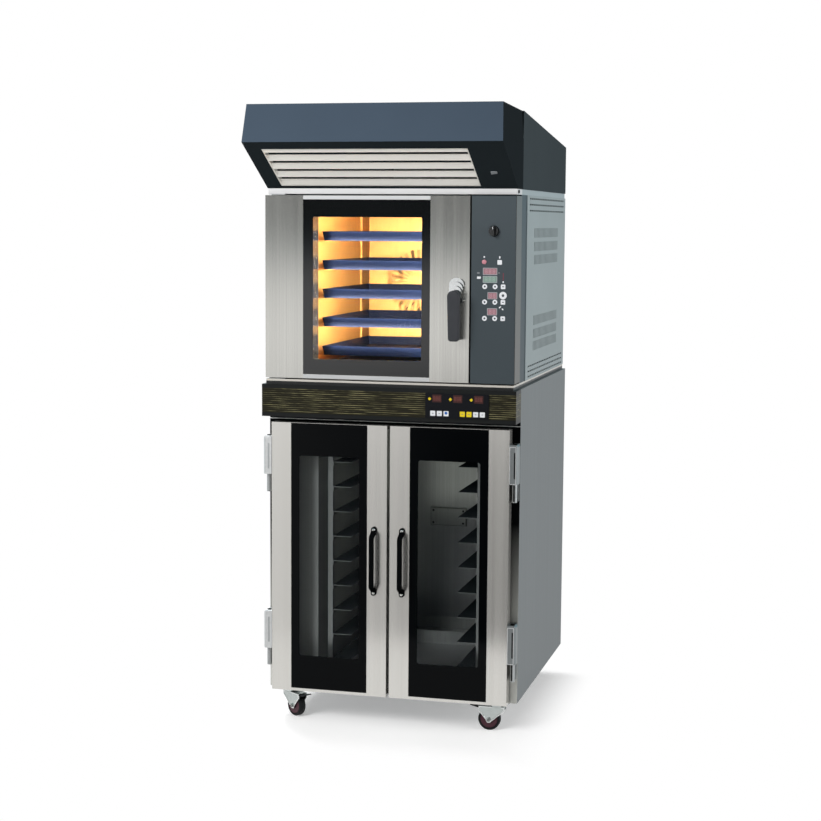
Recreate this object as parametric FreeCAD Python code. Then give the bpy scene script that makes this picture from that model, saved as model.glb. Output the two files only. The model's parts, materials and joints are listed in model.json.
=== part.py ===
import FreeCAD, Part
import math
import os

os.makedirs("parts", exist_ok=True)
V = FreeCAD.Vector

# Bakery baking station in millimetres: a tray convection oven under an extraction hood,
# standing on a two-door proofing cabinet with swivel casters.
# X to the right, Y to the back, Z up. Origin on the floor under the middle of the outer box.

# Overall sizes
PROOFER_WIDTH = 920.0
VISOR_OVERHANG = 243.0
HOOD_SETBACK = 27.0
FITTING_REACH = 40.0
CASTER_HEIGHT = 107.0
OVEN_BASE_HEIGHT = 18.0
RAIL_HEIGHT = 19.0
HOOD_BACK_HEIGHT = 180.0
HOOD_FRONT_HEIGHT = 278.0
VISOR_FACE_HEIGHT = 129.0
VISOR_LEAN = 32.0
VISOR_TAPER = 7.0
VISOR_FALL = 10.0
VISOR_SEAT = 87.0
SHEET = 1.5
RUNNING_GAP = 0.05
SWING_GAP = 0.4

# Proofing cabinet
WALL = 40.0
CABINET_SETBACK = 76.0
FASCIA_HEIGHT = 115.0
FASCIA_PROUD = 12.0
FASCIA_SKIN = 3.0
FASCIA_BAND = 14.0
RIB_PITCH = 7.25
RIB_DEPTH = 1.6
KEYPAD_END_GAP = 95.0
KEYPAD_WIDTH = 225.0
KEYPAD_HEIGHT = 87.0
KEYPAD_THICK = 3.0
PROOFER_KEY = 19.0
PROOFER_KEY_RISE = 0.8
PROOFER_KEY_PITCH = 23.6
PROOFER_KEY_EDGE = 17.0
PROOFER_KEY_CENTRES = (27.0, 132.0)
PROOFER_KEY_COUNTS = (3, 4)
DOOR_SETBACK = 16.0
DOOR_THICK = 46.0
DOOR_TOP_GAP = 23.0
DOOR_BOTTOM_GAP = 4.0
DOOR_SIDE_MARGIN = 26.5
DOOR_MID_GAP = 11.0
DOOR_OUTER_STILE = 73.0
DOOR_INNER_STILE = 72.0
DOOR_CHANNEL = 10.0
GLASS_THICK = 6.0
GLASS_SINK = 3.0
GLASS_LEDGE = 14.0
GLASS_GAP = 0.3
SEAL_WIDTH = 14.0
SEAL_INSET = 2.5

# Proofer hinges and pull handles
HINGE_SETBACK = 20.0
HINGE_AXIS_OUT = 15.25
HINGE_BLOCK_WIDE = 30.5
HINGE_BLOCK_DEEP = 44.0
HINGE_BLOCK_HEIGHT = 138.0
HINGE_PIN_RADIUS = 5.0
HINGE_KNUCKLE_RADIUS = 9.0
HINGE_KNUCKLE_HEIGHT = 65.0
HINGE_PLATE = 6.0
HINGE_FOOT = 151.0
HINGE_HEAD = 51.0
PULL_SPAN = 218.0
PULL_MIDDLE = 496.0
PULL_INSET = 46.0
PULL_WIDE = 19.0
PULL_BAR = 13.0
PULL_REACH = 42.0
PULL_LUG = 15.0

# Proofer racks and humidifier
RACK_LEVELS = 10
RACK_PITCH = 90.5
RACK_FIRST = 66.0
RACK_HEAD = 43.5
RACK_RIGHT = 300.0
RACK_LEFT = 235.0
RUNNER_WIDE = 71.0
RUNNER_THICK = 2.0
RUNNER_LIP = 14.0
POST = 18.0
RACK_FRONT_GAP = 42.0
RACK_BACK_GAP = 60.0
RACK_TOP_SPARE = 22.0
PAN_LENGTH = 400.0
PAN_DEPTH = 250.0
PAN_HEIGHT = 50.0
COVER_WIDE = 150.0
COVER_HIGH = 75.0
COVER_DEEP = 12.0
COVER_LEVEL = 506.0
AIR_DUCT_WIDE = 130.0
AIR_INLET_HIGH = 90.0
AIR_INLET_DOWN = 40.0

# Casters
CASTER_IN = 75.0
CASTER_FRONT = 100.0
CASTER_BACK = 90.0
CASTER_TRAIL = 28.0
WHEEL_RADIUS = 40.0
WHEEL_WIDE = 28.0
WHEEL_DISH = 4.0
AXLE_RADIUS = 5.0
AXLE_HEAD = 8.0
FORK_GAP = 2.0
FORK_PLATE = 3.0
CROWN_THICK = 4.0
RACEWAY_RADIUS = 26.0
RACEWAY_HEIGHT = 14.0
PLATE_LONG = 95.0
PLATE_WIDE = 80.0
PLATE_THICK = 4.0
PEDAL_PIN = 4.0
PEDAL_RING = 7.0
PEDAL_LENGTH = 40.0
PEDAL_THICK = 4.0
PEDAL_TILT = 14.0

# Oven body
FRONT_ZONE = 98.0
FRAME_DEPTH = 102.0
FRAME_PLATE = 3.0
CAVITY_FLOOR = 46.0
CAVITY_HEAD = 47.0
LINER = 2.0
LADDER_POST = 8.0
LADDER_LAP = 18.0
LADDER_THICK = 3.0
LADDER_BACK = 16.0
TRAY_SIDE_ROOM = 30.0
TRAY_FRONT_ROOM = 29.0
TRAY_BACK_ROOM = 16.0
TRAY_HEAD_ROOM = 117.0
TRAY_COUNT = 5
TRAY_WIDTH = 400.0
TRAY_LENGTH = 600.0
TRAY_HEIGHT = 33.0
TRAY_WALL = 2.0
TRAY_PITCH = 102.5
TRAY_FIRST = 33.0
TRAY_DRAFT = 6.0
BAFFLE_BACK = 105.0
BAFFLE_MARGIN = 32.0
GRILLE_SLOTS = 28
GRILLE_INNER = 45.0
GRILLE_OUTER = 125.0
GRILLE_SHARE = 0.5
FAN_RADIUS = 130.0
FAN_DEPTH = 60.0
FAN_BLADES = 16
FAN_BACK_GAP = 25.0
FAN_HUB = 22.0
SHAFT_RADIUS = 8.0
MOTOR_RADIUS = 72.0
MOTOR_LENGTH = 110.0
MOTOR_ROOM = 37.0
HEATER_RADIUS = 165.0
HEATER_TUBE = 4.5
HEATER_PITCH = 22.0
LAMP_WIDE = 90.0
LAMP_HIGH = 60.0
LAMP_THICK = 7.0

# Oven side vents
VENT_SLOT = 24.0
VENT_SLOT_HIGH = 6.0
VENT_END = 43.0
VENT_PITCH = 36.0
VENT_FRONT = 48.0
VENT_DOWN = (11.0, 32.0, 53.0)
VENT_UP = (11.0, 29.0, 47.0)
LOUVRE_END = 170.0
LOUVRE_PITCH = 25.0
LOUVRE_SLOT = 9.0
LOUVRE_HIGH = 34.0
LOUVRE_FRONT = 142.0
LOUVRE_DOWN = (132.0, 181.0, 228.0)
LOUVRE_UP = (115.0, 159.0, 207.0)

# Oven door, latch handle and control box
OVEN_DOOR_THICK = 90.0
FRONT_FOOT_GAP = 5.0
FRONT_HEAD_GAP = 5.0
OVEN_STILE = 139.5
OVEN_CHANNEL = 15.0
OVEN_GLASS_SINK = 2.0
WINDOW_LEDGE = 30.0
WINDOW_LEDGE_HIGH = 50.0
INNER_GLASS_LAP = 14.0
OVEN_SEAL_WIDE = 14.0
OVEN_SEAL_OUT = 6.0
PIVOT_IN = 20.0
PIVOT_BACK = 60.0
PIVOT_RADIUS = 6.0
PIVOT_DEPTH = 25.0
PIVOT_PLATE = 3.0
PIVOT_PLATE_LONG = 60.0
LATCH_IN = 43.0
LATCH_LEVEL = 301.0
ROSETTE_RADIUS = 26.0
ROSETTE_TAPER = 2.0
ROSETTE_STEP = 11.0
ROSETTE_DROP = 12.0
ROSETTE_LAYERS = 4
LEVER_TOP_RADIUS = 21.0
LEVER_FOOT_WIDE = 38.0
LEVER_THICK = 24.0
LEVER_DROP = 154.0
LEVER_ROUND = 5.0
LEVER_LEAN = 4.0
SPINDLE_RADIUS = 6.0
SPINDLE_DEPTH = 20.0
LUG_RADIUS = 12.0
LUG_BORE = 7.0
LUG_LONG = 30.0
LUG_OUT = 15.0
LUG_DROP = 15.0
CONTROL_GAP = 6.0
CONTROL_WIDTH = 155.0
FASCIA_PLATE = 3.0
KNOB_RADIUS = 19.0
KNOB_LENGTH = 24.0
KNOB_LIFT = 0.6
KNOB_SHAFT = 4.0
KNOB_IN = 77.0
KNOB_DOWN = 120.0
OVEN_KEY_RISE = 0.6
ROUND_KEY = 9.0
SQUARE_KEY = 16.0
START_KEY = 13.5
KEY_ROWS = (309.0, 362.0, 418.0)
KEY_ROUND_IN = (107.0, 71.0)
KEY_SQUARE_IN = 43.0
START_ROW = 339.0

# Hood
SLAT_COUNT = 5
SLAT_PITCH = 54.0
SLAT_FIRST = 15.4
SLAT_WIDE = 28.6
SLAT_TILT = 18.0
SLAT_SINK = 5.0
APERTURE_LEFT_MARGIN = 57.0
APERTURE_RIGHT_MARGIN = 127.0
APERTURE_TOP_MARGIN = 46.0
APERTURE_FOOT_MARGIN = 18.0
LOUVRE_FRAME = 4.0
RAIL_WIDE = 25.0
RAIL_INSET = 3.0
SWITCH_IN = 65.0
SWITCH_UP = 109.0
SWITCH_LONG = 22.0
SWITCH_WIDE = 14.0
SWITCH_DEEP = 10.0
SWITCH_BARREL = 7.5
SWITCH_TILT = 8.0
SPIGOT_RADIUS = 75.0
SPIGOT_LENGTH = 50.0
SPIGOT_STEP = 3.0
SPIGOT_UPSTAND = 6.0
SPIGOT_FLANGE = 20.0
SPIGOT_BACK = 300.0
BLOWER_RADIUS = 165.0
BLOWER_HEIGHT = 105.0
BLOWER_WHEEL = 130.0
BLOWER_WHEEL_HIGH = 62.0
BLOWER_BLADES = 20
BLOWER_MOTOR_RADIUS = 55.0
BLOWER_MOTOR_HIGH = 22.0
BLADE_THICK = 1.5
BLADE_LEAN = 20.0

# Rear connections
GLAND_RADIUS = 14.0
GLAND_BORE = 6.5
INLET_RADIUS = 10.5
INLET_BORE = 7.0
FITTING_IN = 42.0
FITTING_PITCH = 52.0
FITTING_LEVEL = 34.0
FITTING_NUT = 18.0
FITTING_NUT_LONG = 12.0

# Sizes that follow from the trays and racks
cavity_width = TRAY_WIDTH + 2 * TRAY_SIDE_ROOM
cavity_height = TRAY_FIRST + (TRAY_COUNT - 1) * TRAY_PITCH + TRAY_HEAD_ROOM
cavity_depth = TRAY_FRONT_ROOM + TRAY_LENGTH + TRAY_BACK_ROOM + BAFFLE_BACK
oven_door_width = cavity_width + 2 * OVEN_STILE
oven_width = oven_door_width + CONTROL_GAP + CONTROL_WIDTH
oven_body_height = CAVITY_FLOOR + cavity_height + CAVITY_HEAD
body_depth = FRONT_ZONE + FRAME_PLATE + cavity_depth + LINER + MOTOR_LENGTH + MOTOR_ROOM
rack_height = RACK_FIRST + (RACK_LEVELS - 1) * RACK_PITCH + RACK_HEAD
proofer_height = WALL + rack_height + WALL + FASCIA_HEIGHT

# Planes worked out from the sizes
overall_depth = VISOR_OVERHANG + body_depth + FITTING_REACH
y_visor = -overall_depth / 2
y_front = y_visor + VISOR_OVERHANG
y_rear = y_front + body_depth
y_brow = y_visor + VISOR_LEAN
y_foot = y_front + HOOD_SETBACK
y_seam = y_foot + VISOR_SEAT
y_cabinet = y_front + CABINET_SETBACK
y_frame = y_front + FRONT_ZONE
y_liner = y_frame + FRAME_PLATE
y_side = y_frame + FRAME_DEPTH
z_cabinet = CASTER_HEIGHT
z_proofer = z_cabinet + proofer_height
z_base = z_proofer + OVEN_BASE_HEIGHT
z_rail = z_base + oven_body_height
z_hood = z_rail + RAIL_HEIGHT
z_door_foot = z_base + FRONT_FOOT_GAP
z_door_head = z_rail - FRONT_HEAD_GAP
z_fascia = z_proofer - FASCIA_HEIGHT
half_oven = oven_width / 2
half_proofer = PROOFER_WIDTH / 2
AXIS_X = V(1, 0, 0)
AXIS_Y = V(0, 1, 0)
AXIS_Z = V(0, 0, 1)


def block(x, y, z):
    """Box between three pairs of low and high limits."""
    return Part.makeBox(x[1] - x[0], y[1] - y[0], z[1] - z[0], V(x[0], y[0], z[0]))


def closed_face(points):
    """Flat face inside the straight lines through the points."""
    return Part.Face(Part.makePolygon(points + points[:1]))


def prism_x(points, x):
    """Outline of (y, z) points carried along X."""
    face = closed_face([V(x[0], p[0], p[1]) for p in points])
    return face.extrude(V(x[1] - x[0], 0, 0))


def ring_x(x, y, z, inset_y, inset_z, depth):
    """Flat rectangular ring in the plane square to Y, with its hole inset from the outline."""
    outer = block(x, (y, y + depth), z)
    hole = block((x[0] + inset_y, x[1] - inset_y), (y, y + depth), (z[0] + inset_z, z[1] - inset_z))
    return outer.cut(hole)


def mirrored(shape):
    """The same shape on the other side of the middle plane."""
    return shape.mirror(V(0, 0, 0), AXIS_X)


def save(name, solids):
    """Write one piece, or a group of like solids, under its own name."""
    shape = solids[0] if len(solids) == 1 else Part.makeCompound(solids)
    shape.exportStep("parts/" + name + ".step")


# Proofing cabinet: foam-filled steel panels
inner_half = half_proofer - WALL
y_back_wall = y_rear - WALL
z_chamber_top = z_fascia - WALL
right_wall = block((inner_half, half_proofer), (y_cabinet, y_rear), (z_cabinet, z_proofer))
save("proofer_side_walls", [mirrored(right_wall), right_wall])

back_wall = block((-inner_half, inner_half), (y_back_wall, y_rear), (z_cabinet, z_proofer))
save("proofer_back_wall", [back_wall])

floor = block((-inner_half, inner_half), (y_cabinet, y_back_wall), (z_cabinet, z_cabinet + WALL))
save("proofer_floor", [floor])

roof = block((-inner_half, inner_half), (y_cabinet, y_back_wall), (z_chamber_top, z_proofer))
electrics = block((-inner_half + FASCIA_SKIN, inner_half - FASCIA_SKIN),
                  (y_cabinet + FASCIA_SKIN, y_back_wall - FASCIA_SKIN), (z_fascia, z_proofer))
save("proofer_roof", [roof.cut(electrics)])


def make_fascia():
    """Ribbed control strip: grooved front profile carried across the width, hollow behind."""
    y_face = y_front - FASCIA_PROUD
    z_low = z_fascia + FASCIA_BAND
    ribs = int((FASCIA_HEIGHT - 2 * FASCIA_BAND) / RIB_PITCH)
    outline = [(y_cabinet, z_fascia), (y_face, z_fascia)]
    for rib in range(ribs):
        z = z_low + rib * RIB_PITCH
        outline.append((y_face, z))
        outline.append((y_face + RIB_DEPTH, z + RIB_PITCH * 0.25))
        outline.append((y_face, z + RIB_PITCH * 0.5))
    outline += [(y_face, z_proofer), (y_cabinet, z_proofer)]
    solid = prism_x(outline, (-half_proofer, half_proofer))
    hollow = block((-half_proofer + FASCIA_SKIN, half_proofer - FASCIA_SKIN),
                   (y_face + RIB_DEPTH + FASCIA_SKIN, y_cabinet),
                   (z_fascia + FASCIA_SKIN, z_proofer - FASCIA_SKIN))
    return solid.cut(hollow)


save("proofer_fascia", [make_fascia()])


def make_proofer_keypad():
    """Sealed film keypad with raised square key domes along its lower edge."""
    y_face = y_front - FASCIA_PROUD - KEYPAD_THICK
    z_low = z_fascia + (FASCIA_HEIGHT - KEYPAD_HEIGHT) / 2
    x_left = half_proofer - KEYPAD_END_GAP - KEYPAD_WIDTH
    plate = block((x_left, x_left + KEYPAD_WIDTH), (y_face, y_face + KEYPAD_THICK),
                  (z_low, z_low + KEYPAD_HEIGHT))
    z_key = z_low + PROOFER_KEY_EDGE
    keys = []
    for start, count in zip(PROOFER_KEY_CENTRES, PROOFER_KEY_COUNTS):
        for key in range(count):
            x = x_left + start + key * PROOFER_KEY_PITCH
            keys.append(block((x - PROOFER_KEY / 2, x + PROOFER_KEY / 2),
                              (y_face - PROOFER_KEY_RISE, y_face),
                              (z_key - PROOFER_KEY / 2, z_key + PROOFER_KEY / 2)))
    return plate.fuse(keys).removeSplitter()


save("proofer_keypad", [make_proofer_keypad()])


def make_rack_side(half):
    """Right-hand rack at a distance from the middle: two posts and a stack of tray runners
    with turned-down outer lips."""
    z_low = z_cabinet + WALL
    y_start = y_cabinet + RACK_FRONT_GAP
    y_end = y_back_wall - RACK_BACK_GAP
    z_top = z_low + RACK_FIRST + (RACK_LEVELS - 1) * RACK_PITCH + RACK_TOP_SPARE
    solids = []
    for y in (y_start, y_end - POST):
        solids.append(block((half, half + POST), (y, y + POST), (z_low, z_top)))
    x_in = half - RUNNER_WIDE
    for level in range(RACK_LEVELS):
        z = z_low + RACK_FIRST + level * RACK_PITCH
        flange = block((x_in, half), (y_start, y_end), (z, z + RUNNER_THICK))
        lip = block((half - RUNNER_THICK, half), (y_start, y_end), (z - RUNNER_LIP, z))
        solids.append(flange.fuse(lip).removeSplitter())
    return solids


left_rack = [mirrored(solid) for solid in make_rack_side(RACK_LEFT)]
save("proofer_racks", make_rack_side(RACK_RIGHT) + left_rack)


def make_humidifier():
    """Open water pan on the cabinet floor, the cover of its heater leads on the back wall,
    and the folded air duct along the left wall, open near its top."""
    z_low = z_cabinet + WALL
    pan = block((-PAN_LENGTH / 2, PAN_LENGTH / 2), (y_back_wall - PAN_DEPTH, y_back_wall),
                (z_low, z_low + PAN_HEIGHT))
    water = block((-PAN_LENGTH / 2 + LINER, PAN_LENGTH / 2 - LINER),
                  (y_back_wall - PAN_DEPTH + LINER, y_back_wall - LINER),
                  (z_low + LINER, z_low + PAN_HEIGHT))
    z_mid = z_cabinet + COVER_LEVEL
    cover = block((-COVER_WIDE / 2, COVER_WIDE / 2), (y_back_wall - COVER_DEEP, y_back_wall),
                  (z_mid - COVER_HIGH / 2, z_mid + COVER_HIGH / 2))
    edges = [e for e in cover.Edges if e.BoundBox.YMax < y_back_wall - COVER_DEEP + SHEET]
    x_duct = AIR_DUCT_WIDE - inner_half
    y_duct = y_cabinet + RACK_FRONT_GAP
    z_duct = (z_low, z_chamber_top)
    front = block((-inner_half, x_duct), (y_duct, y_duct + SHEET), z_duct)
    side = block((x_duct - SHEET, x_duct), (y_duct, y_back_wall), z_duct)
    z_inlet = z_chamber_top - AIR_INLET_DOWN
    inlet = block((x_duct - SHEET, x_duct), (y_duct + AIR_DUCT_WIDE, y_back_wall - AIR_DUCT_WIDE),
                  (z_inlet - AIR_INLET_HIGH, z_inlet))
    duct = front.fuse(side).cut(inlet).removeSplitter()
    return [pan.cut(water), cover.makeChamfer(COVER_DEEP / 3, edges), duct]


save("proofer_humidifier", make_humidifier())

# Proofer doors: steel stiles, glass pane, pull handle and lift-off hinges
door_x = (DOOR_MID_GAP / 2, half_proofer - DOOR_SIDE_MARGIN)
door_z = (z_cabinet + DOOR_BOTTOM_GAP, z_fascia - DOOR_TOP_GAP)
y_door = y_front + DOOR_SETBACK
y_door_back = y_door + DOOR_THICK
pane_x = (door_x[0] + DOOR_INNER_STILE, door_x[1] - DOOR_OUTER_STILE)
pane_z = (door_z[0] + DOOR_CHANNEL, door_z[1] - DOOR_CHANNEL)
hinge_x = door_x[1] + HINGE_AXIS_OUT
hinge_y = y_door + HINGE_SETBACK
hinge_levels = (door_z[0] + HINGE_FOOT, door_z[1] - HINGE_HEAD - HINGE_BLOCK_HEIGHT)


def make_proofer_door():
    """Right door frame, with a stepped opening that seats the pane from the front."""
    solid = block(door_x, (y_door, y_door_back), door_z)
    y_seat = y_door + GLASS_SINK + GLASS_THICK
    recess = block(pane_x, (y_door, y_seat), pane_z)
    through = block((pane_x[0] + GLASS_LEDGE, pane_x[1] - GLASS_LEDGE), (y_seat, y_door_back),
                    (pane_z[0] + GLASS_LEDGE, pane_z[1] - GLASS_LEDGE))
    return solid.cut(recess.fuse(through))


def make_proofer_pane():
    """Flat pane with a small clearance all round its seat."""
    return block((pane_x[0] + GLASS_GAP, pane_x[1] - GLASS_GAP),
                 (y_door + GLASS_SINK, y_door + GLASS_SINK + GLASS_THICK),
                 (pane_z[0] + GLASS_GAP, pane_z[1] - GLASS_GAP))


def make_pull():
    """Moulded bow handle: side profile with two screw lugs, carried across its width."""
    x = door_x[0] + PULL_INSET
    z_mid = z_cabinet + PULL_MIDDLE
    half = PULL_SPAN / 2
    y_out = y_door - PULL_REACH
    lug = PULL_BAR * 0.6
    rise = half - PULL_LUG
    outer = [(y_door, half + PULL_LUG), (y_door - lug, half + PULL_LUG), (y_door - lug, half - PULL_LUG / 2),
             (y_out, rise - PULL_REACH / 2)]
    inner = [(y_out + PULL_BAR, rise - PULL_REACH / 2 - PULL_BAR / 2), (y_door, rise - PULL_BAR / 2)]
    upper = [(y, z_mid + z) for y, z in outer]
    lower = [(y, z_mid - z) for y, z in reversed(outer)]
    inside = [(y, z_mid - z) for y, z in reversed(inner)] + [(y, z_mid + z) for y, z in inner]
    solid = prism_x(upper + lower + inside, (x - PULL_WIDE / 2, x + PULL_WIDE / 2))
    y_grip = y_out + SHEET
    grip_edges = [e for e in solid.Edges if e.BoundBox.YMax < y_grip and e.BoundBox.ZLength > half]
    return solid.makeFillet(PULL_BAR * 0.35, grip_edges)


def make_hinge_blocks():
    """Upper hinge halves on the door edge, each bored from below for its pin."""
    solids = []
    for z in hinge_levels:
        z_low = z + SWING_GAP
        z_high = z + HINGE_BLOCK_HEIGHT
        body = block((door_x[1], door_x[1] + HINGE_BLOCK_WIDE),
                     (hinge_y - HINGE_BLOCK_DEEP / 2, hinge_y + HINGE_BLOCK_DEEP / 2), (z_low, z_high))
        outer = [e for e in body.Edges if e.BoundBox.XMin > door_x[1] + SHEET]
        top = [e for e in outer if e.BoundBox.ZMin > z_high - SHEET]
        front = [e for e in outer if e.BoundBox.ZLength > HINGE_BLOCK_HEIGHT / 2]
        body = body.makeChamfer(HINGE_BLOCK_WIDE / 5, top + front)
        bore = Part.makeCylinder(HINGE_PIN_RADIUS + RUNNING_GAP, HINGE_BLOCK_HEIGHT / 2 + SWING_GAP,
                                 V(hinge_x, hinge_y, z_low), AXIS_Z)
        solids.append(body.cut(bore))
    return solids


def make_hinge_posts():
    """Lower hinge halves on the cabinet front: plate, arm, knuckle and standing pin."""
    solids = []
    radius = HINGE_PIN_RADIUS
    for z in hinge_levels:
        z_low = z - HINGE_KNUCKLE_HEIGHT
        foot = V(hinge_x, hinge_y, z_low)
        plate = block((hinge_x - HINGE_KNUCKLE_RADIUS, half_proofer - SHEET),
                      (y_cabinet - HINGE_PLATE, y_cabinet), (z_low, z + HINGE_BLOCK_HEIGHT))
        arm = block((hinge_x - radius, hinge_x + radius), (hinge_y, y_cabinet), (z_low, z))
        knuckle = Part.makeCylinder(HINGE_KNUCKLE_RADIUS, HINGE_KNUCKLE_HEIGHT, foot, AXIS_Z)
        pin = Part.makeCylinder(radius, HINGE_BLOCK_HEIGHT / 2, V(hinge_x, hinge_y, z), AXIS_Z)
        solids.append(plate.fuse([arm, knuckle, pin]).removeSplitter())
    return solids


right_frame = make_proofer_door()
right_pane = make_proofer_pane()
right_pull = make_pull()
right_blocks = make_hinge_blocks()
right_posts = make_hinge_posts()
save("right_door_frame", [right_frame])
save("right_door_glass", [right_pane])
save("right_door_handle", [right_pull])
save("right_door_hinges", right_blocks)
save("left_door_frame", [mirrored(right_frame)])
save("left_door_glass", [mirrored(right_pane)])
save("left_door_handle", [mirrored(right_pull)])
save("left_door_hinges", [mirrored(solid) for solid in right_blocks])
save("proofer_hinge_posts", right_posts + [mirrored(solid) for solid in right_posts])

def make_door_seal():
    """Rubber seal strips on the cabinet front, butted at the corners round the doorway."""
    y = (y_door_back + SWING_GAP, y_cabinet)
    x_out = door_x[1] - SEAL_INSET
    x_in = x_out - SEAL_WIDTH
    z_low = door_z[0] + SEAL_INSET
    z_high = door_z[1] - SEAL_INSET
    side = block((x_in, x_out), y, (z_low, z_high))
    strips = [mirrored(side), side]
    for z in (z_low, z_high - SEAL_WIDTH):
        strips.append(block((-x_in, x_in), y, (z, z + SEAL_WIDTH)))
    return strips


save("proofer_door_seal", make_door_seal())


# Casters: each has a top plate on the cabinet, a swivelling fork and a wheel
def caster_places():
    """Name, swivel place and trailing direction in degrees from +X for each caster."""
    y_near = y_front + CASTER_FRONT
    y_far = y_rear - CASTER_BACK
    x = half_proofer - CASTER_IN
    return (("front_left", -x, y_near, -35.0), ("front_right", x, y_near, 180.0),
            ("rear_left", -x, y_far, -20.0), ("rear_right", x, y_far, 195.0))


z_raceway = CASTER_HEIGHT - PLATE_THICK - RACEWAY_HEIGHT
z_crown = z_raceway - SWING_GAP - CROWN_THICK
leg_in = WHEEL_WIDE / 2 + FORK_GAP
leg_out = leg_in + FORK_PLATE
pedal_u = CASTER_TRAIL + WHEEL_RADIUS * 0.75
pedal_z = z_crown - PEDAL_PIN - RUNNING_GAP


def make_caster_plate():
    """Top plate with the fixed ball raceway, king pin and the nut that holds the fork."""
    plate = block((-PLATE_LONG / 2, PLATE_LONG / 2), (-PLATE_WIDE / 2, PLATE_WIDE / 2),
                  (CASTER_HEIGHT - PLATE_THICK, CASTER_HEIGHT))
    upright = [e for e in plate.Edges if e.BoundBox.ZLength > PLATE_THICK / 2]
    plate = plate.makeFillet(PLATE_WIDE / 10, upright)
    raceway = Part.makeCone(RACEWAY_RADIUS, RACEWAY_RADIUS * 1.2, RACEWAY_HEIGHT, V(0, 0, z_raceway), AXIS_Z)
    z_nut = z_crown - SWING_GAP - AXLE_RADIUS
    pin = Part.makeCylinder(AXLE_RADIUS, z_raceway - z_nut, V(0, 0, z_nut), AXIS_Z)
    nut = Part.makeCylinder(AXLE_HEAD, AXLE_RADIUS, V(0, 0, z_nut), AXIS_Z)
    return plate.fuse([raceway, pin, nut]).removeSplitter()


def make_fork(braked):
    """Pressed fork: crown with king pin hole, two tapered legs, axle bolt, and pedal pin if braked."""
    u_back = pedal_u + PEDAL_RING if braked else CASTER_TRAIL + WHEEL_RADIUS / 3
    u_nose = -RACEWAY_RADIUS * 1.1
    z_top = z_crown + CROWN_THICK
    crown = block((u_nose, u_back), (-leg_out, leg_out), (z_crown, z_top))
    disc = Part.makeCylinder(RACEWAY_RADIUS, CROWN_THICK, V(0, 0, z_crown), AXIS_Z)
    hub = AXLE_HEAD * 1.4
    outline = [(u_nose, z_top), (u_nose, z_crown - hub), (CASTER_TRAIL - hub, WHEEL_RADIUS - hub / 2),
               (CASTER_TRAIL - hub / 2, WHEEL_RADIUS - hub), (CASTER_TRAIL + hub / 2, WHEEL_RADIUS - hub),
               (CASTER_TRAIL + hub, WHEEL_RADIUS), (u_back, z_crown - 2 * PEDAL_RING), (u_back, z_top)]
    legs = []
    for w in (-leg_out, leg_in):
        legs.append(closed_face([V(u, w, z) for u, z in outline]).extrude(V(0, FORK_PLATE, 0)))
    axle = Part.makeCylinder(AXLE_RADIUS, 2 * leg_out, V(CASTER_TRAIL, -leg_out, WHEEL_RADIUS), AXIS_Y)
    heads = []
    for w in (-leg_out - FORK_PLATE, leg_out):
        heads.append(Part.makeCylinder(AXLE_HEAD, FORK_PLATE, V(CASTER_TRAIL, w, WHEEL_RADIUS), AXIS_Y))
    solid = crown.fuse([disc, axle] + legs + heads)
    king_hole = Part.makeCylinder(AXLE_RADIUS + RUNNING_GAP, CROWN_THICK, V(0, 0, z_crown), AXIS_Z)
    solid = solid.cut(king_hole)
    if braked:
        start = V(pedal_u, -leg_in, pedal_z)
        solid = solid.cut(Part.makeCylinder(PEDAL_RING + SWING_GAP, 2 * leg_in, start, AXIS_Y))
        solid = solid.fuse(Part.makeCylinder(PEDAL_PIN, 2 * leg_out, V(pedal_u, -leg_out, pedal_z), AXIS_Y))
    return solid.removeSplitter()


def make_wheel():
    """Solid wheel turned from one profile: crowned tread, dished faces and a plain bore."""
    half = WHEEL_WIDE / 2
    bore = AXLE_RADIUS + RUNNING_GAP
    rim = WHEEL_RADIUS * 0.78
    hub = AXLE_HEAD * 1.2
    shoulder = WHEEL_WIDE * 0.2
    outline = [(bore, -half), (hub, -half), (hub, -half + WHEEL_DISH), (rim, -half + WHEEL_DISH),
               (rim, -half + WHEEL_DISH / 4), (WHEEL_RADIUS - shoulder / 2, -half + WHEEL_DISH / 4),
               (WHEEL_RADIUS, -half + shoulder)]
    outline += [(radius, -w) for radius, w in reversed(outline)]
    turned = closed_face([V(radius, w, 0) for radius, w in outline]).revolve(V(0, 0, 0), AXIS_Y, 360)
    return turned.translated(V(CASTER_TRAIL, 0, WHEEL_RADIUS))


def make_pedal():
    """Brake pedal: ring on the fork's cross pin, with a foot plate behind the wheel."""
    half = leg_in - SWING_GAP
    ring = Part.makeCylinder(PEDAL_RING, 2 * half, V(pedal_u, -half, pedal_z), AXIS_Y)
    plate = block((pedal_u, pedal_u + PEDAL_LENGTH), (-half, half),
                  (pedal_z - PEDAL_THICK / 2, pedal_z + PEDAL_THICK / 2))
    plate.rotate(V(pedal_u, 0, pedal_z), AXIS_Y, -PEDAL_TILT)
    solid = ring.fuse(plate)
    bore = Part.makeCylinder(PEDAL_PIN + RUNNING_GAP, 2 * half, V(pedal_u, -half, pedal_z), AXIS_Y)
    return solid.cut(bore)


caster_plates = []
for name, x, y, heading in caster_places():
    braked = name.startswith("front")
    pieces = [("caster_fork_" + name, make_fork(braked)), ("caster_wheel_" + name, make_wheel())]
    if braked:
        pieces.append(("brake_pedal_" + name, make_pedal()))
    for node, shape in pieces:
        shape.rotate(V(0, 0, 0), AXIS_Z, heading)
        save(node, [shape.translated(V(x, y, 0))])
    caster_plates.append(make_caster_plate().translated(V(x, y, 0)))
save("caster_plates", caster_plates)

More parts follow.
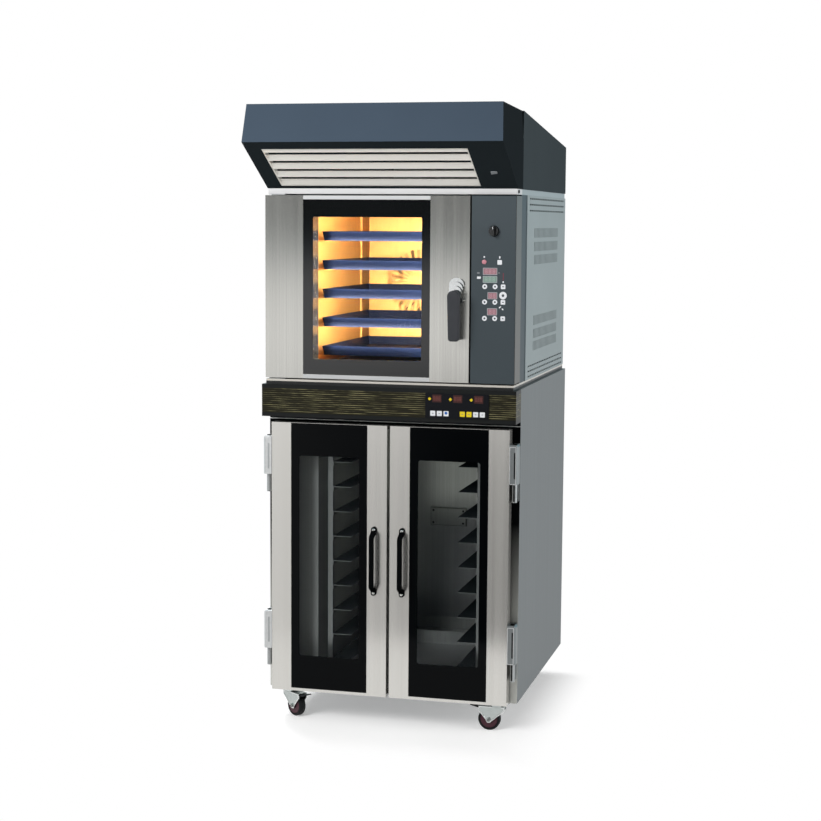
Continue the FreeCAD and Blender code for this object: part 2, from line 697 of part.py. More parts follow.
# Oven body: base tray, front frame, casing panels and the baking chamber
cavity_x = (OVEN_STILE - half_oven, OVEN_STILE - half_oven + cavity_width)
cavity_z = (z_base + CAVITY_FLOOR, z_base + CAVITY_FLOOR + cavity_height)
y_cavity_back = y_liner + cavity_depth
body_z = (z_base, z_rail)


def make_base():
    """Folded base tray with a plain sill under the door, open underneath."""
    x = half_oven - LINER
    outer = block((-x, x), (y_front, y_rear), (z_proofer, z_base))
    under = block((-x + LINER, x - LINER), (y_front + LINER, y_rear - LINER), (z_proofer, z_base - LINER))
    return outer.cut(under)


def make_front_frame():
    """Front frame round the chamber mouth: two folded posts with side returns, and two flat rails."""
    x = half_oven - LINER
    pieces = []
    for side, x_mouth in ((-1, cavity_x[0]), (1, cavity_x[1])):
        plate = block(sorted((side * x, x_mouth)), (y_frame, y_liner), body_z)
        wing = block(sorted((side * x, side * (x - SHEET))), (y_liner, y_side), body_z)
        pieces.append(plate.fuse(wing).removeSplitter())
    for z in ((body_z[0], cavity_z[0]), (cavity_z[1], body_z[1])):
        pieces.append(block(cavity_x, (y_frame, y_liner), z))
    return pieces


def make_cavity():
    """Baking chamber: five welded steel sheets behind the frame, holed for the fan shaft."""
    x_out = (cavity_x[0] - LINER, cavity_x[1] + LINER)
    y = (y_liner, y_cavity_back)
    sheets = [block((x_out[0], cavity_x[0]), y, cavity_z), block((cavity_x[1], x_out[1]), y, cavity_z)]
    for z in (cavity_z[0] - LINER, cavity_z[1]):
        sheets.append(block(x_out, y, (z, z + LINER)))
    back = block(x_out, (y_cavity_back, y_cavity_back + LINER), (cavity_z[0] - LINER, cavity_z[1] + LINER))
    shaft_hole = Part.makeCylinder(SHAFT_RADIUS * 1.5, LINER, V(fan_x, y_cavity_back, fan_z), AXIS_Y)
    return sheets + [back.cut(shaft_hole)]


def make_side_panel(side, vented):
    """Casing side in the plane square to X, with rows of small vents and tall louvre slots if vented."""
    x = side * half_oven
    y = (y_side, y_rear)
    corners = [V(x, y[0], body_z[0]), V(x, y[1], body_z[0]), V(x, y[1], body_z[1]), V(x, y[0], body_z[1])]
    holes = []
    if vented:
        vents = [z_rail - row for row in VENT_DOWN] + [z_base + row for row in VENT_UP]
        louvres = [z_rail - row for row in LOUVRE_DOWN] + [z_base + row for row in LOUVRE_UP]
        fields = [(vents, VENT_END, VENT_PITCH, VENT_SLOT, VENT_SLOT_HIGH, VENT_FRONT),
                  (louvres, LOUVRE_END, LOUVRE_PITCH, LOUVRE_SLOT, LOUVRE_HIGH, LOUVRE_FRONT)]
        for levels, end, pitch, wide, high, start in fields:
            count = int((y_rear - y_side - start - end - wide) / pitch) + 1
            for z in levels:
                for slot in range(count):
                    y_slot = y_side + start + slot * pitch
                    slot_corners = [V(x, y_slot, z - high / 2), V(x, y_slot, z + high / 2),
                                    V(x, y_slot + wide, z + high / 2), V(x, y_slot + wide, z - high / 2)]
                    holes.append(Part.makePolygon(slot_corners + slot_corners[:1]))
    face = Part.Face([Part.makePolygon(corners + corners[:1])] + holes)
    sheet = face.extrude(V(-side * SHEET, 0, 0))
    hem_x = sorted((x - side * SHEET, x - side * FRAME_DEPTH / 8))
    hem_z = (z_base, z_rail - SHEET)
    front_hem = block(hem_x, (y_side, y_side + SHEET), hem_z)
    back_hem = block(hem_x, (y_rear - 2 * SHEET, y_rear - SHEET), hem_z)
    return sheet.fuse([front_hem, back_hem]).removeSplitter()


def make_rear_cover():
    """Top sheet and back sheet of the casing, the back vented behind the fan motor."""
    x = half_oven - SHEET
    top = block((-x, x), (y_side, y_rear), (z_rail - SHEET, z_rail))
    back = block((-x, x), (y_rear - SHEET, y_rear), (z_base, z_rail - SHEET))
    slots = []
    for row in range(3):
        for slot in range(6):
            x_slot = fan_x - 2.5 * VENT_PITCH + slot * VENT_PITCH
            z_slot = fan_z + (row - 1) * VENT_PITCH
            slots.append(block((x_slot - VENT_SLOT / 2, x_slot + VENT_SLOT / 2), (y_rear - SHEET, y_rear),
                               (z_slot - VENT_SLOT_HIGH / 2, z_slot + VENT_SLOT_HIGH / 2)))
    return [top, back.cut(Part.makeCompound(slots))]


fan_x = (cavity_x[0] + cavity_x[1]) / 2
fan_z = (cavity_z[0] + cavity_z[1]) / 2
save("oven_base", [make_base()])
save("oven_front_frame", make_front_frame())
save("oven_cavity", make_cavity())
save("oven_left_panel", [make_side_panel(-1, False)])
save("oven_right_panel", [make_side_panel(1, True)])
save("oven_rear_cover", make_rear_cover())

# Tray ladders and baking trays
tray_x = (fan_x - TRAY_WIDTH / 2, fan_x + TRAY_WIDTH / 2)
y_tray = y_liner + TRAY_FRONT_ROOM
tray_levels = [cavity_z[0] + TRAY_FIRST + level * TRAY_PITCH for level in range(TRAY_COUNT)]


def make_ladder_side(side):
    """One ladder: two upright bars on the chamber wall, and the flat rails that carry the trays."""
    x_wall = cavity_x[0] if side < 0 else cavity_x[1]
    y_start = y_tray + LADDER_BACK
    y_end = y_tray + TRAY_LENGTH
    post_x = sorted((x_wall, x_wall - side * LADDER_POST))
    x_tray = tray_x[0] if side < 0 else tray_x[1]
    rail_x = sorted((x_wall - side * LADDER_POST, x_tray - side * LADDER_LAP))
    solids = []
    for y in (y_start, y_end - LADDER_POST):
        solids.append(block(post_x, (y, y + LADDER_POST), cavity_z))
    for z in tray_levels:
        solids.append(block(rail_x, (y_start, y_end), (z - LADDER_THICK, z)))
    return solids


def make_tray(z):
    """Shallow baking sheet with sloped sides, hollowed from a tapered block."""
    def tapered(inset, z_low, z_high):
        wires = []
        for draft, level in ((TRAY_DRAFT, z_low), (0.0, z_high)):
            x = (tray_x[0] + inset + draft, tray_x[1] - inset - draft)
            y = (y_tray + inset + draft, y_tray + TRAY_LENGTH - inset - draft)
            points = [V(x[0], y[0], level), V(x[1], y[0], level), V(x[1], y[1], level), V(x[0], y[1], level)]
            wires.append(Part.makePolygon(points + points[:1]))
        return Part.makeLoft(wires, True, True)
    return tapered(0.0, z, z + TRAY_HEIGHT).cut(tapered(TRAY_WALL, z + TRAY_WALL, z + TRAY_HEIGHT))


save("tray_ladders", make_ladder_side(-1) + make_ladder_side(1))
save("baking_trays", [make_tray(z) for z in tray_levels])

# Convection fan, motor, heater, baffle and lamp
y_baffle = y_cavity_back - BAFFLE_BACK
y_fan_back = y_cavity_back - FAN_BACK_GAP


def make_baffle():
    """Fan baffle: plate with a ring of radial slots, on four pegs from the chamber's back wall."""
    x = (cavity_x[0] + BAFFLE_MARGIN, cavity_x[1] - BAFFLE_MARGIN)
    z = (cavity_z[0] + BAFFLE_MARGIN, cavity_z[1] - BAFFLE_MARGIN)
    corners = [(x[0], z[0]), (x[1], z[0]), (x[1], z[1]), (x[0], z[1])]
    corners = [V(across, y_baffle, level) for across, level in corners]
    half_angle = math.pi / GRILLE_SLOTS * GRILLE_SHARE
    slots = []
    for slot in range(GRILLE_SLOTS):
        middle = 2 * math.pi * slot / GRILLE_SLOTS
        points = []
        for radius, turn in ((GRILLE_INNER, -1), (GRILLE_OUTER, -1), (GRILLE_OUTER, 1), (GRILLE_INNER, 1)):
            angle = middle + turn * half_angle
            points.append(V(fan_x + radius * math.cos(angle), y_baffle, fan_z + radius * math.sin(angle)))
        slots.append(Part.makePolygon(points + points[:1]))
    plate = Part.Face([Part.makePolygon(corners + corners[:1])] + slots).extrude(V(0, LINER, 0))
    pegs = []
    for x_peg in (x[0] + BAFFLE_MARGIN, x[1] - BAFFLE_MARGIN):
        for z_peg in (z[0] + BAFFLE_MARGIN, z[1] - BAFFLE_MARGIN):
            foot = V(x_peg, y_baffle + LINER, z_peg)
            pegs.append(Part.makeCylinder(LADDER_POST / 2, BAFFLE_BACK - LINER, foot, AXIS_Y))
    return plate.fuse(pegs).removeSplitter()


def make_blades(count, inner, outer, lean):
    """Straight blades about Z, leaning back from the radius, standing on Z = 0 with unit height."""
    blades = []
    for index in range(count):
        blade = block((inner, outer), (-BLADE_THICK / 2, BLADE_THICK / 2), (0, 1))
        blade.rotate(V(inner, 0, 0), AXIS_Z, lean)
        blade.rotate(V(0, 0, 0), AXIS_Z, 360.0 * index / count)
        blades.append(blade)
    return blades


def make_impeller(radius, height, blade_count, hub_radius, shaft):
    """Impeller about Z: back plate, hub with shaft below it, and blades above it."""
    stretch = FreeCAD.Matrix()
    stretch.scale(V(1, 1, height))
    plate = Part.makeCylinder(radius, LINER, V(0, 0, -LINER), AXIS_Z)
    hub = Part.makeCylinder(hub_radius, height * 0.6, V(0, 0, 0), AXIS_Z)
    axle = Part.makeCylinder(SHAFT_RADIUS, shaft, V(0, 0, -LINER - shaft), AXIS_Z)
    reach = radius * 0.3
    blades = make_blades(blade_count, radius - reach, radius * 0.98, -BLADE_LEAN)
    blades = [blade.transformGeometry(stretch) for blade in blades]
    return plate.fuse([hub, axle] + blades).removeSplitter()


def make_convection_fan():
    """Radial fan behind the baffle, turned to point its blades forward along Y."""
    shaft = FAN_BACK_GAP + LINER + MOTOR_LENGTH / 2
    fan = make_impeller(FAN_RADIUS, FAN_DEPTH, FAN_BLADES, FAN_HUB, shaft)
    fan.rotate(V(0, 0, 0), AXIS_X, 90)
    return fan.translated(V(fan_x, y_fan_back - LINER, fan_z))


def make_fan_motor():
    """Fan motor on the back of the chamber: mounting plate, finned can and shaft bore."""
    y_plate = y_cavity_back + LINER
    size = MOTOR_RADIUS * 1.25
    plate = block((fan_x - size, fan_x + size), (y_plate, y_plate + LINER), (fan_z - size, fan_z + size))
    foot = V(fan_x, y_plate, fan_z)
    can = Part.makeCylinder(MOTOR_RADIUS, MOTOR_LENGTH, foot, AXIS_Y)
    bore = Part.makeCylinder(SHAFT_RADIUS + RUNNING_GAP, MOTOR_LENGTH * 0.75, foot, AXIS_Y)
    return plate.fuse(can).cut(bore).removeSplitter()


def make_heater():
    """Two tubular heating rings round the fan, each with a pair of legs to the back wall."""
    rings = []
    for index in range(2):
        y = y_fan_back - HEATER_PITCH * (index + 0.5)
        outline = []
        for corner in range(6):
            turn = math.radians(60 * corner)
            outline.append(V(HEATER_RADIUS + HEATER_TUBE * math.cos(turn), HEATER_TUBE * math.sin(turn), 0))
        ring = closed_face(outline).revolve(V(0, 0, 0), AXIS_Y, 360).translated(V(fan_x, y, fan_z))
        legs = []
        for turn in (-1, 1):
            angle = math.radians(60 + 60 * index + turn * 5)
            foot = V(fan_x + HEATER_RADIUS * math.cos(angle), y, fan_z + HEATER_RADIUS * math.sin(angle))
            legs.append(Part.makeCylinder(HEATER_TUBE * 0.9, y_cavity_back - y, foot, AXIS_Y))
        rings.append(ring.fuse(legs))
    return rings


def make_lamp():
    """Flat chamber lamp behind a lens, on the right wall between the tray ladder's uprights."""
    y_mid = y_tray + LADDER_BACK + TRAY_LENGTH / 4
    lens = block((cavity_x[1] - LAMP_THICK, cavity_x[1]), (y_mid - LAMP_WIDE / 2, y_mid + LAMP_WIDE / 2),
                 (fan_z - LAMP_HIGH / 2, fan_z + LAMP_HIGH / 2))
    edges = [e for e in lens.Edges if e.BoundBox.XMax < cavity_x[1] - LAMP_THICK / 2]
    return lens.makeChamfer(LAMP_THICK / 3, edges)


save("fan_baffle", [make_baffle()])
save("convection_fan", [make_convection_fan()])
save("fan_motor", [make_fan_motor()])
save("heater_rings", make_heater())
save("oven_lamp", [make_lamp()])

# Oven door on its pivots, with double glass, seal and latch handle
oven_door_x = (-half_oven, -half_oven + oven_door_width)
oven_door_z = (z_door_foot, z_door_head)
y_oven_door_back = y_front + OVEN_DOOR_THICK
oven_pane_x = (oven_door_x[0] + OVEN_STILE, oven_door_x[1] - OVEN_STILE)
oven_pane_z = (oven_door_z[0] + OVEN_CHANNEL, oven_door_z[1] - OVEN_CHANNEL)
window_x = (oven_pane_x[0] + WINDOW_LEDGE, oven_pane_x[1] - WINDOW_LEDGE)
window_z = (oven_pane_z[0] + WINDOW_LEDGE_HIGH, oven_pane_z[1] - WINDOW_LEDGE_HIGH)
inner_pane_x = (window_x[0] - INNER_GLASS_LAP, window_x[1] + INNER_GLASS_LAP)
inner_pane_z = (window_z[0] - INNER_GLASS_LAP, window_z[1] + INNER_GLASS_LAP)
pivot_x = oven_door_x[0] + PIVOT_IN
pivot_y = y_oven_door_back - PIVOT_BACK
latch_x = oven_door_x[1] - LATCH_IN
latch_z = z_door_foot + LATCH_LEVEL


def make_oven_door():
    """Door frame: deep steel stiles and slim channels, stepped for both panes and bored for the pivots."""
    solid = block(oven_door_x, (y_front, y_oven_door_back), oven_door_z)
    y_seat = y_front + OVEN_GLASS_SINK + GLASS_THICK
    recess = block(oven_pane_x, (y_front, y_seat), oven_pane_z)
    through = block(window_x, (y_seat, y_oven_door_back), window_z)
    rebate = block(inner_pane_x, (y_oven_door_back - GLASS_THICK, y_oven_door_back), inner_pane_z)
    bores = []
    for z in (oven_door_z[0], oven_door_z[1] - PIVOT_DEPTH):
        foot = V(pivot_x, pivot_y, z)
        bores.append(Part.makeCylinder(PIVOT_RADIUS + RUNNING_GAP, PIVOT_DEPTH, foot, AXIS_Z))
    return solid.cut(recess.fuse([through, rebate] + bores))


def make_oven_panes():
    """Front pane over the whole opening, and a smaller back pane in its own rebate."""
    front = block((oven_pane_x[0] + GLASS_GAP, oven_pane_x[1] - GLASS_GAP),
                  (y_front + OVEN_GLASS_SINK, y_front + OVEN_GLASS_SINK + GLASS_THICK),
                  (oven_pane_z[0] + GLASS_GAP, oven_pane_z[1] - GLASS_GAP))
    back = block((inner_pane_x[0] + GLASS_GAP, inner_pane_x[1] - GLASS_GAP),
                 (y_oven_door_back - GLASS_THICK, y_oven_door_back),
                 (inner_pane_z[0] + GLASS_GAP, inner_pane_z[1] - GLASS_GAP))
    return [front, back]


def make_oven_seal():
    """Silicone seal on the back of the door, round the chamber mouth."""
    grow = OVEN_SEAL_OUT + OVEN_SEAL_WIDE
    x = (cavity_x[0] - grow, cavity_x[1] + grow)
    z = (cavity_z[0] - grow, cavity_z[1] + grow)
    thick = y_frame - y_oven_door_back - SWING_GAP
    return ring_x(x, y_oven_door_back, z, OVEN_SEAL_WIDE, OVEN_SEAL_WIDE, thick)


def make_pivots():
    """Pivot plates on the sill and under the hood rail, each with its pin into the door."""
    x = (pivot_x - PIVOT_IN / 2, pivot_x - PIVOT_IN / 2 + PIVOT_PLATE_LONG)
    y = (pivot_y - PIVOT_IN, pivot_y + PIVOT_IN)
    low = block(x, y, (z_base, z_base + PIVOT_PLATE))
    high = block(x, y, (z_rail - PIVOT_PLATE, z_rail))
    reach = oven_door_z[0] + PIVOT_DEPTH - SHEET - z_base
    low_pin = Part.makeCylinder(PIVOT_RADIUS, reach, V(pivot_x, pivot_y, z_base), AXIS_Z)
    z_pin = oven_door_z[1] - PIVOT_DEPTH + SHEET
    high_pin = Part.makeCylinder(PIVOT_RADIUS, z_rail - z_pin, V(pivot_x, pivot_y, z_pin), AXIS_Z)
    return [low.fuse(low_pin).removeSplitter(), high.fuse(high_pin).removeSplitter()]


y_neck = y_front - ROSETTE_LAYERS * ROSETTE_STEP


def make_rosette():
    """Chromed latch neck of stepped discs, each further out and lower, with a ring lug beside it."""
    discs = []
    for layer in range(ROSETTE_LAYERS):
        z = latch_z + (ROSETTE_LAYERS - 1 - layer) * ROSETTE_DROP
        y = y_front - (layer + 1) * ROSETTE_STEP
        radius = ROSETTE_RADIUS - layer * ROSETTE_TAPER
        discs.append(Part.makeCylinder(radius, ROSETTE_STEP, V(latch_x, y, z), AXIS_Y))
    lug_foot = V(latch_x + LUG_OUT, y_front - LUG_LONG, latch_z - LUG_DROP)
    lug = Part.makeCylinder(LUG_RADIUS, LUG_LONG, lug_foot, AXIS_Y)
    eye = Part.makeCylinder(LUG_BORE, LUG_LONG, lug_foot, AXIS_Y)
    mouth = V(latch_x, y_neck, latch_z)
    bore = Part.makeCylinder(SPINDLE_RADIUS + RUNNING_GAP, SPINDLE_DEPTH + SHEET, mouth, AXIS_Y)
    return discs[0].fuse(discs[1:] + [lug]).cut(eye.fuse(bore)).removeSplitter()


def make_lever():
    """Latch lever: tapered grip with a round head, leaning to the door, on a spindle in the neck."""
    y_back = y_neck - SWING_GAP
    y_face = y_back - LEVER_THICK
    head = LEVER_TOP_RADIUS
    foot = LEVER_FOOT_WIDE / 2
    z_foot = latch_z - LEVER_DROP
    right = V(latch_x + head, y_back, latch_z)
    left = V(latch_x - head, y_back, latch_z)
    low_left = V(latch_x - foot, y_back, z_foot)
    low_right = V(latch_x + foot, y_back, z_foot)
    crown = Part.Arc(right, V(latch_x, y_back, latch_z + head), left).toShape()
    rest = Part.makePolygon([left, low_left, low_right, right])
    grip = Part.Face(Part.Wire([crown] + rest.Edges)).extrude(V(0, -LEVER_THICK, 0))
    corners = [e for e in grip.Edges if e.BoundBox.ZMax < z_foot + SHEET]
    corners = [e for e in corners if e.BoundBox.YLength > LEVER_THICK / 2]
    grip = grip.makeFillet(2 * LEVER_ROUND, corners)
    rim = [e for e in grip.Edges if e.BoundBox.YMax < y_face + SHEET]
    grip = grip.makeFillet(LEVER_ROUND, rim)
    grip.rotate(V(latch_x, y_back, latch_z + head), AXIS_X, LEVER_LEAN)
    y_root = y_face + LEVER_ROUND
    reach = y_neck + SPINDLE_DEPTH - y_root
    spindle = Part.makeCylinder(SPINDLE_RADIUS, reach, V(latch_x, y_root, latch_z), AXIS_Y)
    clear = block((latch_x - 2 * head, latch_x + 2 * head), (y_back, y_back + LEVER_THICK),
                  (latch_z - 2 * head, latch_z + 2 * head))
    return grip.cut(clear).fuse(spindle).removeSplitter()


save("oven_door_frame", [make_oven_door()])
save("oven_door_glass", make_oven_panes())
save("oven_door_seal", [make_oven_seal()])
save("oven_door_pivots", make_pivots())
save("handle_rosette", [make_rosette()])
save("handle_lever", [make_lever()])

# Control box beside the door
control_x = (oven_door_x[1] + CONTROL_GAP, half_oven)
knob_x = control_x[1] - KNOB_IN
knob_z = z_door_head - KNOB_DOWN
y_panel = y_front + FASCIA_PLATE


def knob_hole(y_low, y_high):
    """Round hole for the knob's shaft."""
    return Part.makeCylinder(KNOB_SHAFT + RUNNING_GAP, y_high - y_low, V(knob_x, y_low, knob_z), AXIS_Y)


def make_control_housing():
    """Folded steel box for the controls, open at the back against the front frame."""
    outer = block(control_x, (y_panel, y_frame), oven_door_z)
    inside = block((control_x[0] + LINER, control_x[1] - LINER), (y_panel + LINER, y_frame),
                   (oven_door_z[0] + LINER, oven_door_z[1] - LINER))
    return outer.cut(inside.fuse(knob_hole(y_panel, y_panel + LINER)))


def make_control_fascia():
    """Painted front plate with the raised domes of its sealed film keys."""
    plate = block((control_x[0], control_x[1] - SHEET), (y_front, y_panel), oven_door_z)
    y_key = y_front - OVEN_KEY_RISE
    domes = []
    for row in KEY_ROWS:
        z = z_door_head - row
        for inset in KEY_ROUND_IN:
            domes.append(Part.makeCylinder(ROUND_KEY, OVEN_KEY_RISE, V(half_oven - inset, y_key, z), AXIS_Y))
        x = half_oven - KEY_SQUARE_IN
        domes.append(block((x - SQUARE_KEY / 2, x + SQUARE_KEY / 2), (y_key, y_front),
                           (z - SQUARE_KEY / 2, z + SQUARE_KEY / 2)))
    start = V(half_oven - KEY_SQUARE_IN, y_key, z_door_head - START_ROW)
    domes.append(Part.makeCylinder(START_KEY, OVEN_KEY_RISE, start, AXIS_Y))
    return plate.fuse(domes).cut(knob_hole(y_front, y_panel)).removeSplitter()


def make_knob():
    """Turning knob: tapered skirt, grip bar across its face, and a shaft through the panel."""
    y_back = y_front - KNOB_LIFT
    foot = V(knob_x, y_back, knob_z)
    skirt = Part.makeCone(KNOB_RADIUS, KNOB_RADIUS * 0.85, KNOB_LENGTH * 0.45, foot, V(0, -1, 0))
    grip = block((knob_x - KNOB_RADIUS * 0.25, knob_x + KNOB_RADIUS * 0.25), (y_back - KNOB_LENGTH, y_back),
                 (knob_z - KNOB_RADIUS * 0.8, knob_z + KNOB_RADIUS * 0.8))
    shaft = Part.makeCylinder(KNOB_SHAFT, KNOB_LIFT + FASCIA_PLATE + 4 * LINER, foot, AXIS_Y)
    return skirt.fuse([grip, shaft]).removeSplitter()


save("control_housing", [make_control_housing()])
save("control_fascia", [make_control_fascia()])
save("control_knob", [make_knob()])

# Extraction hood: rail ring, shell, visor with louvres, switch, blower and duct spigot
z_visor_top = z_hood + HOOD_FRONT_HEIGHT
z_visor_lip = z_visor_top - VISOR_FACE_HEIGHT
z_hood_back = z_hood + HOOD_BACK_HEIGHT
z_seam = z_visor_top - VISOR_FALL
roof_slope = (z_seam - z_hood_back) / (y_rear - y_seam)
slope_run = y_foot - y_visor
slope_drop = z_visor_lip - z_hood
slope_length = math.hypot(slope_run, slope_drop)
slope_angle = math.degrees(math.atan2(slope_drop, slope_run))


def roof_z(y):
    """Height of the shell's outer roof at a depth behind the visor."""
    return z_seam - (y - y_seam) * roof_slope


def on_slope(shape):
    """Carry a shape made flat, with Y up the slope from the foot, on to the visor's sloped underside."""
    shape.rotate(V(0, 0, 0), AXIS_X, 180 - slope_angle)
    return shape.translated(V(0, y_foot, z_hood))


def make_rail():
    """Rail ring between oven and hood, bright along the front."""
    x = half_oven - RAIL_INSET
    y = y_rear - RAIL_INSET
    outer = block((-x, x), (y_foot, y), (z_rail, z_hood))
    inside = block((-x + RAIL_WIDE, x - RAIL_WIDE), (y_foot + RAIL_WIDE, y - RAIL_WIDE), (z_rail, z_hood))
    return outer.cut(inside)


spigot_y = y_rear - SPIGOT_BACK


def make_shell():
    """Hood body: folded sheet with a sloping roof, open to the visor, holed for the duct."""
    outer = [(y_seam, z_hood), (y_rear, z_hood), (y_rear, z_hood_back), (y_seam, z_seam)]
    y_inner = y_rear - SHEET
    inner = [(y_seam, z_hood + SHEET), (y_inner, z_hood + SHEET), (y_inner, roof_z(y_inner) - SHEET),
             (y_seam, z_seam - SHEET)]
    room = prism_x(inner, (-half_oven + SHEET, half_oven - SHEET))
    solid = prism_x(outer, (-half_oven, half_oven)).cut(room)
    z_low = z_hood + BLOWER_HEIGHT
    hole = Part.makeCylinder(SPIGOT_RADIUS - SHEET, z_visor_top - z_low, V(0, spigot_y, z_low), AXIS_Z)
    return solid.cut(hole)


aperture_x = (-half_oven + APERTURE_LEFT_MARGIN, half_oven - APERTURE_RIGHT_MARGIN)
aperture_u = (APERTURE_FOOT_MARGIN, slope_length - APERTURE_TOP_MARGIN)
switch_x = half_oven - SWITCH_IN


def between_ends(half):
    """Space between the visor's end plates, upright to the lip and leaning in above it."""
    outline = [(-half, z_hood), (half, z_hood), (half, z_visor_lip), (half - VISOR_TAPER, z_visor_top),
               (VISOR_TAPER - half, z_visor_top), (-half, z_visor_lip)]
    face = closed_face([V(x, y_visor, z) for x, z in outline])
    return face.extrude(V(0, y_seam - y_visor, 0))


def make_visor():
    """Front visor: leaning face, roof, sloped underside and foot in folded sheet, between end
    plates that lean in above the lip. It is open to the shell, and cut for louvres and switch."""
    slope = slope_drop / slope_run
    thick = SHEET / math.cos(math.radians(slope_angle))
    lean = VISOR_LEAN / VISOR_FACE_HEIGHT
    fall = VISOR_FALL / (y_seam - y_brow)
    outer = [(y_foot, z_hood), (y_seam, z_hood), (y_seam, z_seam), (y_brow, z_visor_top),
             (y_visor, z_visor_lip)]
    y_face = y_visor + SHEET * math.hypot(1, lean)
    rise_lip = (thick - (y_face - y_visor) * slope) / (1 + lean * slope)
    y_top = y_face + lean * (VISOR_FACE_HEIGHT - SHEET)
    z_top = z_visor_top - SHEET - (y_top - y_brow) * fall
    y_bend = y_foot + (thick - SHEET) / slope
    inner = [(y_bend, z_hood + SHEET), (y_seam, z_hood + SHEET), (y_seam, z_seam - SHEET), (y_top, z_top),
             (y_face + lean * rise_lip, z_visor_lip + rise_lip)]
    solid = prism_x(outer, (-half_oven, half_oven)).common(between_ends(half_oven))
    room = prism_x(inner, (-half_oven, half_oven)).common(between_ends(half_oven - SHEET))
    mouth = block(aperture_x, aperture_u, (-2 * SHEET, SHEET))
    socket = block((switch_x - SWITCH_LONG / 2, switch_x + SWITCH_LONG / 2),
                   (SWITCH_UP - SWITCH_WIDE / 2, SWITCH_UP + SWITCH_WIDE / 2), (-2 * SHEET, SHEET))
    return solid.cut(room).cut(on_slope(mouth).fuse(on_slope(socket)))


def make_louvres():
    """Louvre panel in the visor: a slim frame, and slats along it that face the front."""
    x = aperture_x
    u = aperture_u
    deep = 5 * LOUVRE_FRAME
    slat_x = (x[0] + LOUVRE_FRAME, x[1] - LOUVRE_FRAME)
    hole = block(slat_x, (u[0] + LOUVRE_FRAME, u[1] - LOUVRE_FRAME), (-deep, 0))
    solid = block(x, u, (-deep, 0)).cut(hole)
    slats = []
    for index in range(SLAT_COUNT):
        u_mid = u[0] + LOUVRE_FRAME + SLAT_FIRST + index * SLAT_PITCH
        u_slat = (u_mid - SLAT_WIDE / 2, u_mid + SLAT_WIDE / 2)
        slat = block(slat_x, u_slat, (-SLAT_SINK, -SLAT_SINK + SHEET))
        slat.rotate(V(0, u_mid, -SLAT_SINK), AXIS_X, -SLAT_TILT)
        slats.append(slat.common(hole))
    return on_slope(solid.fuse(slats).removeSplitter())


def make_switch():
    """Rocker switch in the visor's underside: button with a round belly, tilted to its off side."""
    gap = SWING_GAP
    u = (SWITCH_UP - SWITCH_WIDE / 2 + gap, SWITCH_UP + SWITCH_WIDE / 2 - gap)
    x = (switch_x - SWITCH_LONG / 2 + 2 * gap, switch_x + SWITCH_LONG / 2 - 2 * gap)
    button = block(x, u, (-SWITCH_DEEP / 2, SWITCH_DEEP / 3))
    barrel = Part.makeCylinder(SWITCH_BARREL, u[1] - u[0], V(switch_x, u[0], 0), AXIS_Y)
    belly = barrel.common(block(x, u, (-SWITCH_BARREL, 0)))
    rocker = button.fuse(belly).removeSplitter()
    rocker.rotate(V(switch_x, SWITCH_UP, 0), AXIS_Y, SWITCH_TILT)
    return on_slope(rocker)


def make_blower():
    """Blower on the hood floor: drum with side inlets, and its flat motor underneath the wheel."""
    z_low = z_hood + SHEET
    z_high = z_low + BLOWER_HEIGHT
    floor = V(0, spigot_y, z_low + SHEET)
    drum = Part.makeCylinder(BLOWER_RADIUS, BLOWER_HEIGHT, V(0, spigot_y, z_low), AXIS_Z)
    room = Part.makeCylinder(BLOWER_RADIUS - SHEET, BLOWER_HEIGHT - 2 * SHEET, floor, AXIS_Z)
    neck = Part.makeCylinder(SPIGOT_RADIUS - SHEET, SHEET, V(0, spigot_y, z_high - SHEET), AXIS_Z)
    inlet = block((-SPIGOT_RADIUS, SPIGOT_RADIUS), (spigot_y - BLOWER_RADIUS, spigot_y - BLOWER_RADIUS / 2),
                  (z_low + BLOWER_MOTOR_HIGH, z_high - BLOWER_MOTOR_HIGH))
    casing = drum.cut(room.fuse([neck, inlet]))
    motor = Part.makeCylinder(BLOWER_MOTOR_RADIUS, BLOWER_MOTOR_HIGH, floor, AXIS_Z)
    bore = Part.makeCylinder(SHAFT_RADIUS + RUNNING_GAP, BLOWER_MOTOR_HIGH, floor, AXIS_Z)
    return [casing, motor.cut(bore)]


def make_blower_wheel():
    """Blower wheel above its motor, with its shaft in the motor's bore."""
    wheel = make_impeller(BLOWER_WHEEL, BLOWER_WHEEL_HIGH, BLOWER_BLADES, FAN_HUB, BLOWER_MOTOR_HIGH - SHEET)
    return wheel.translated(V(0, spigot_y, z_hood + 2 * SHEET + BLOWER_MOTOR_HIGH + 2 * LINER))


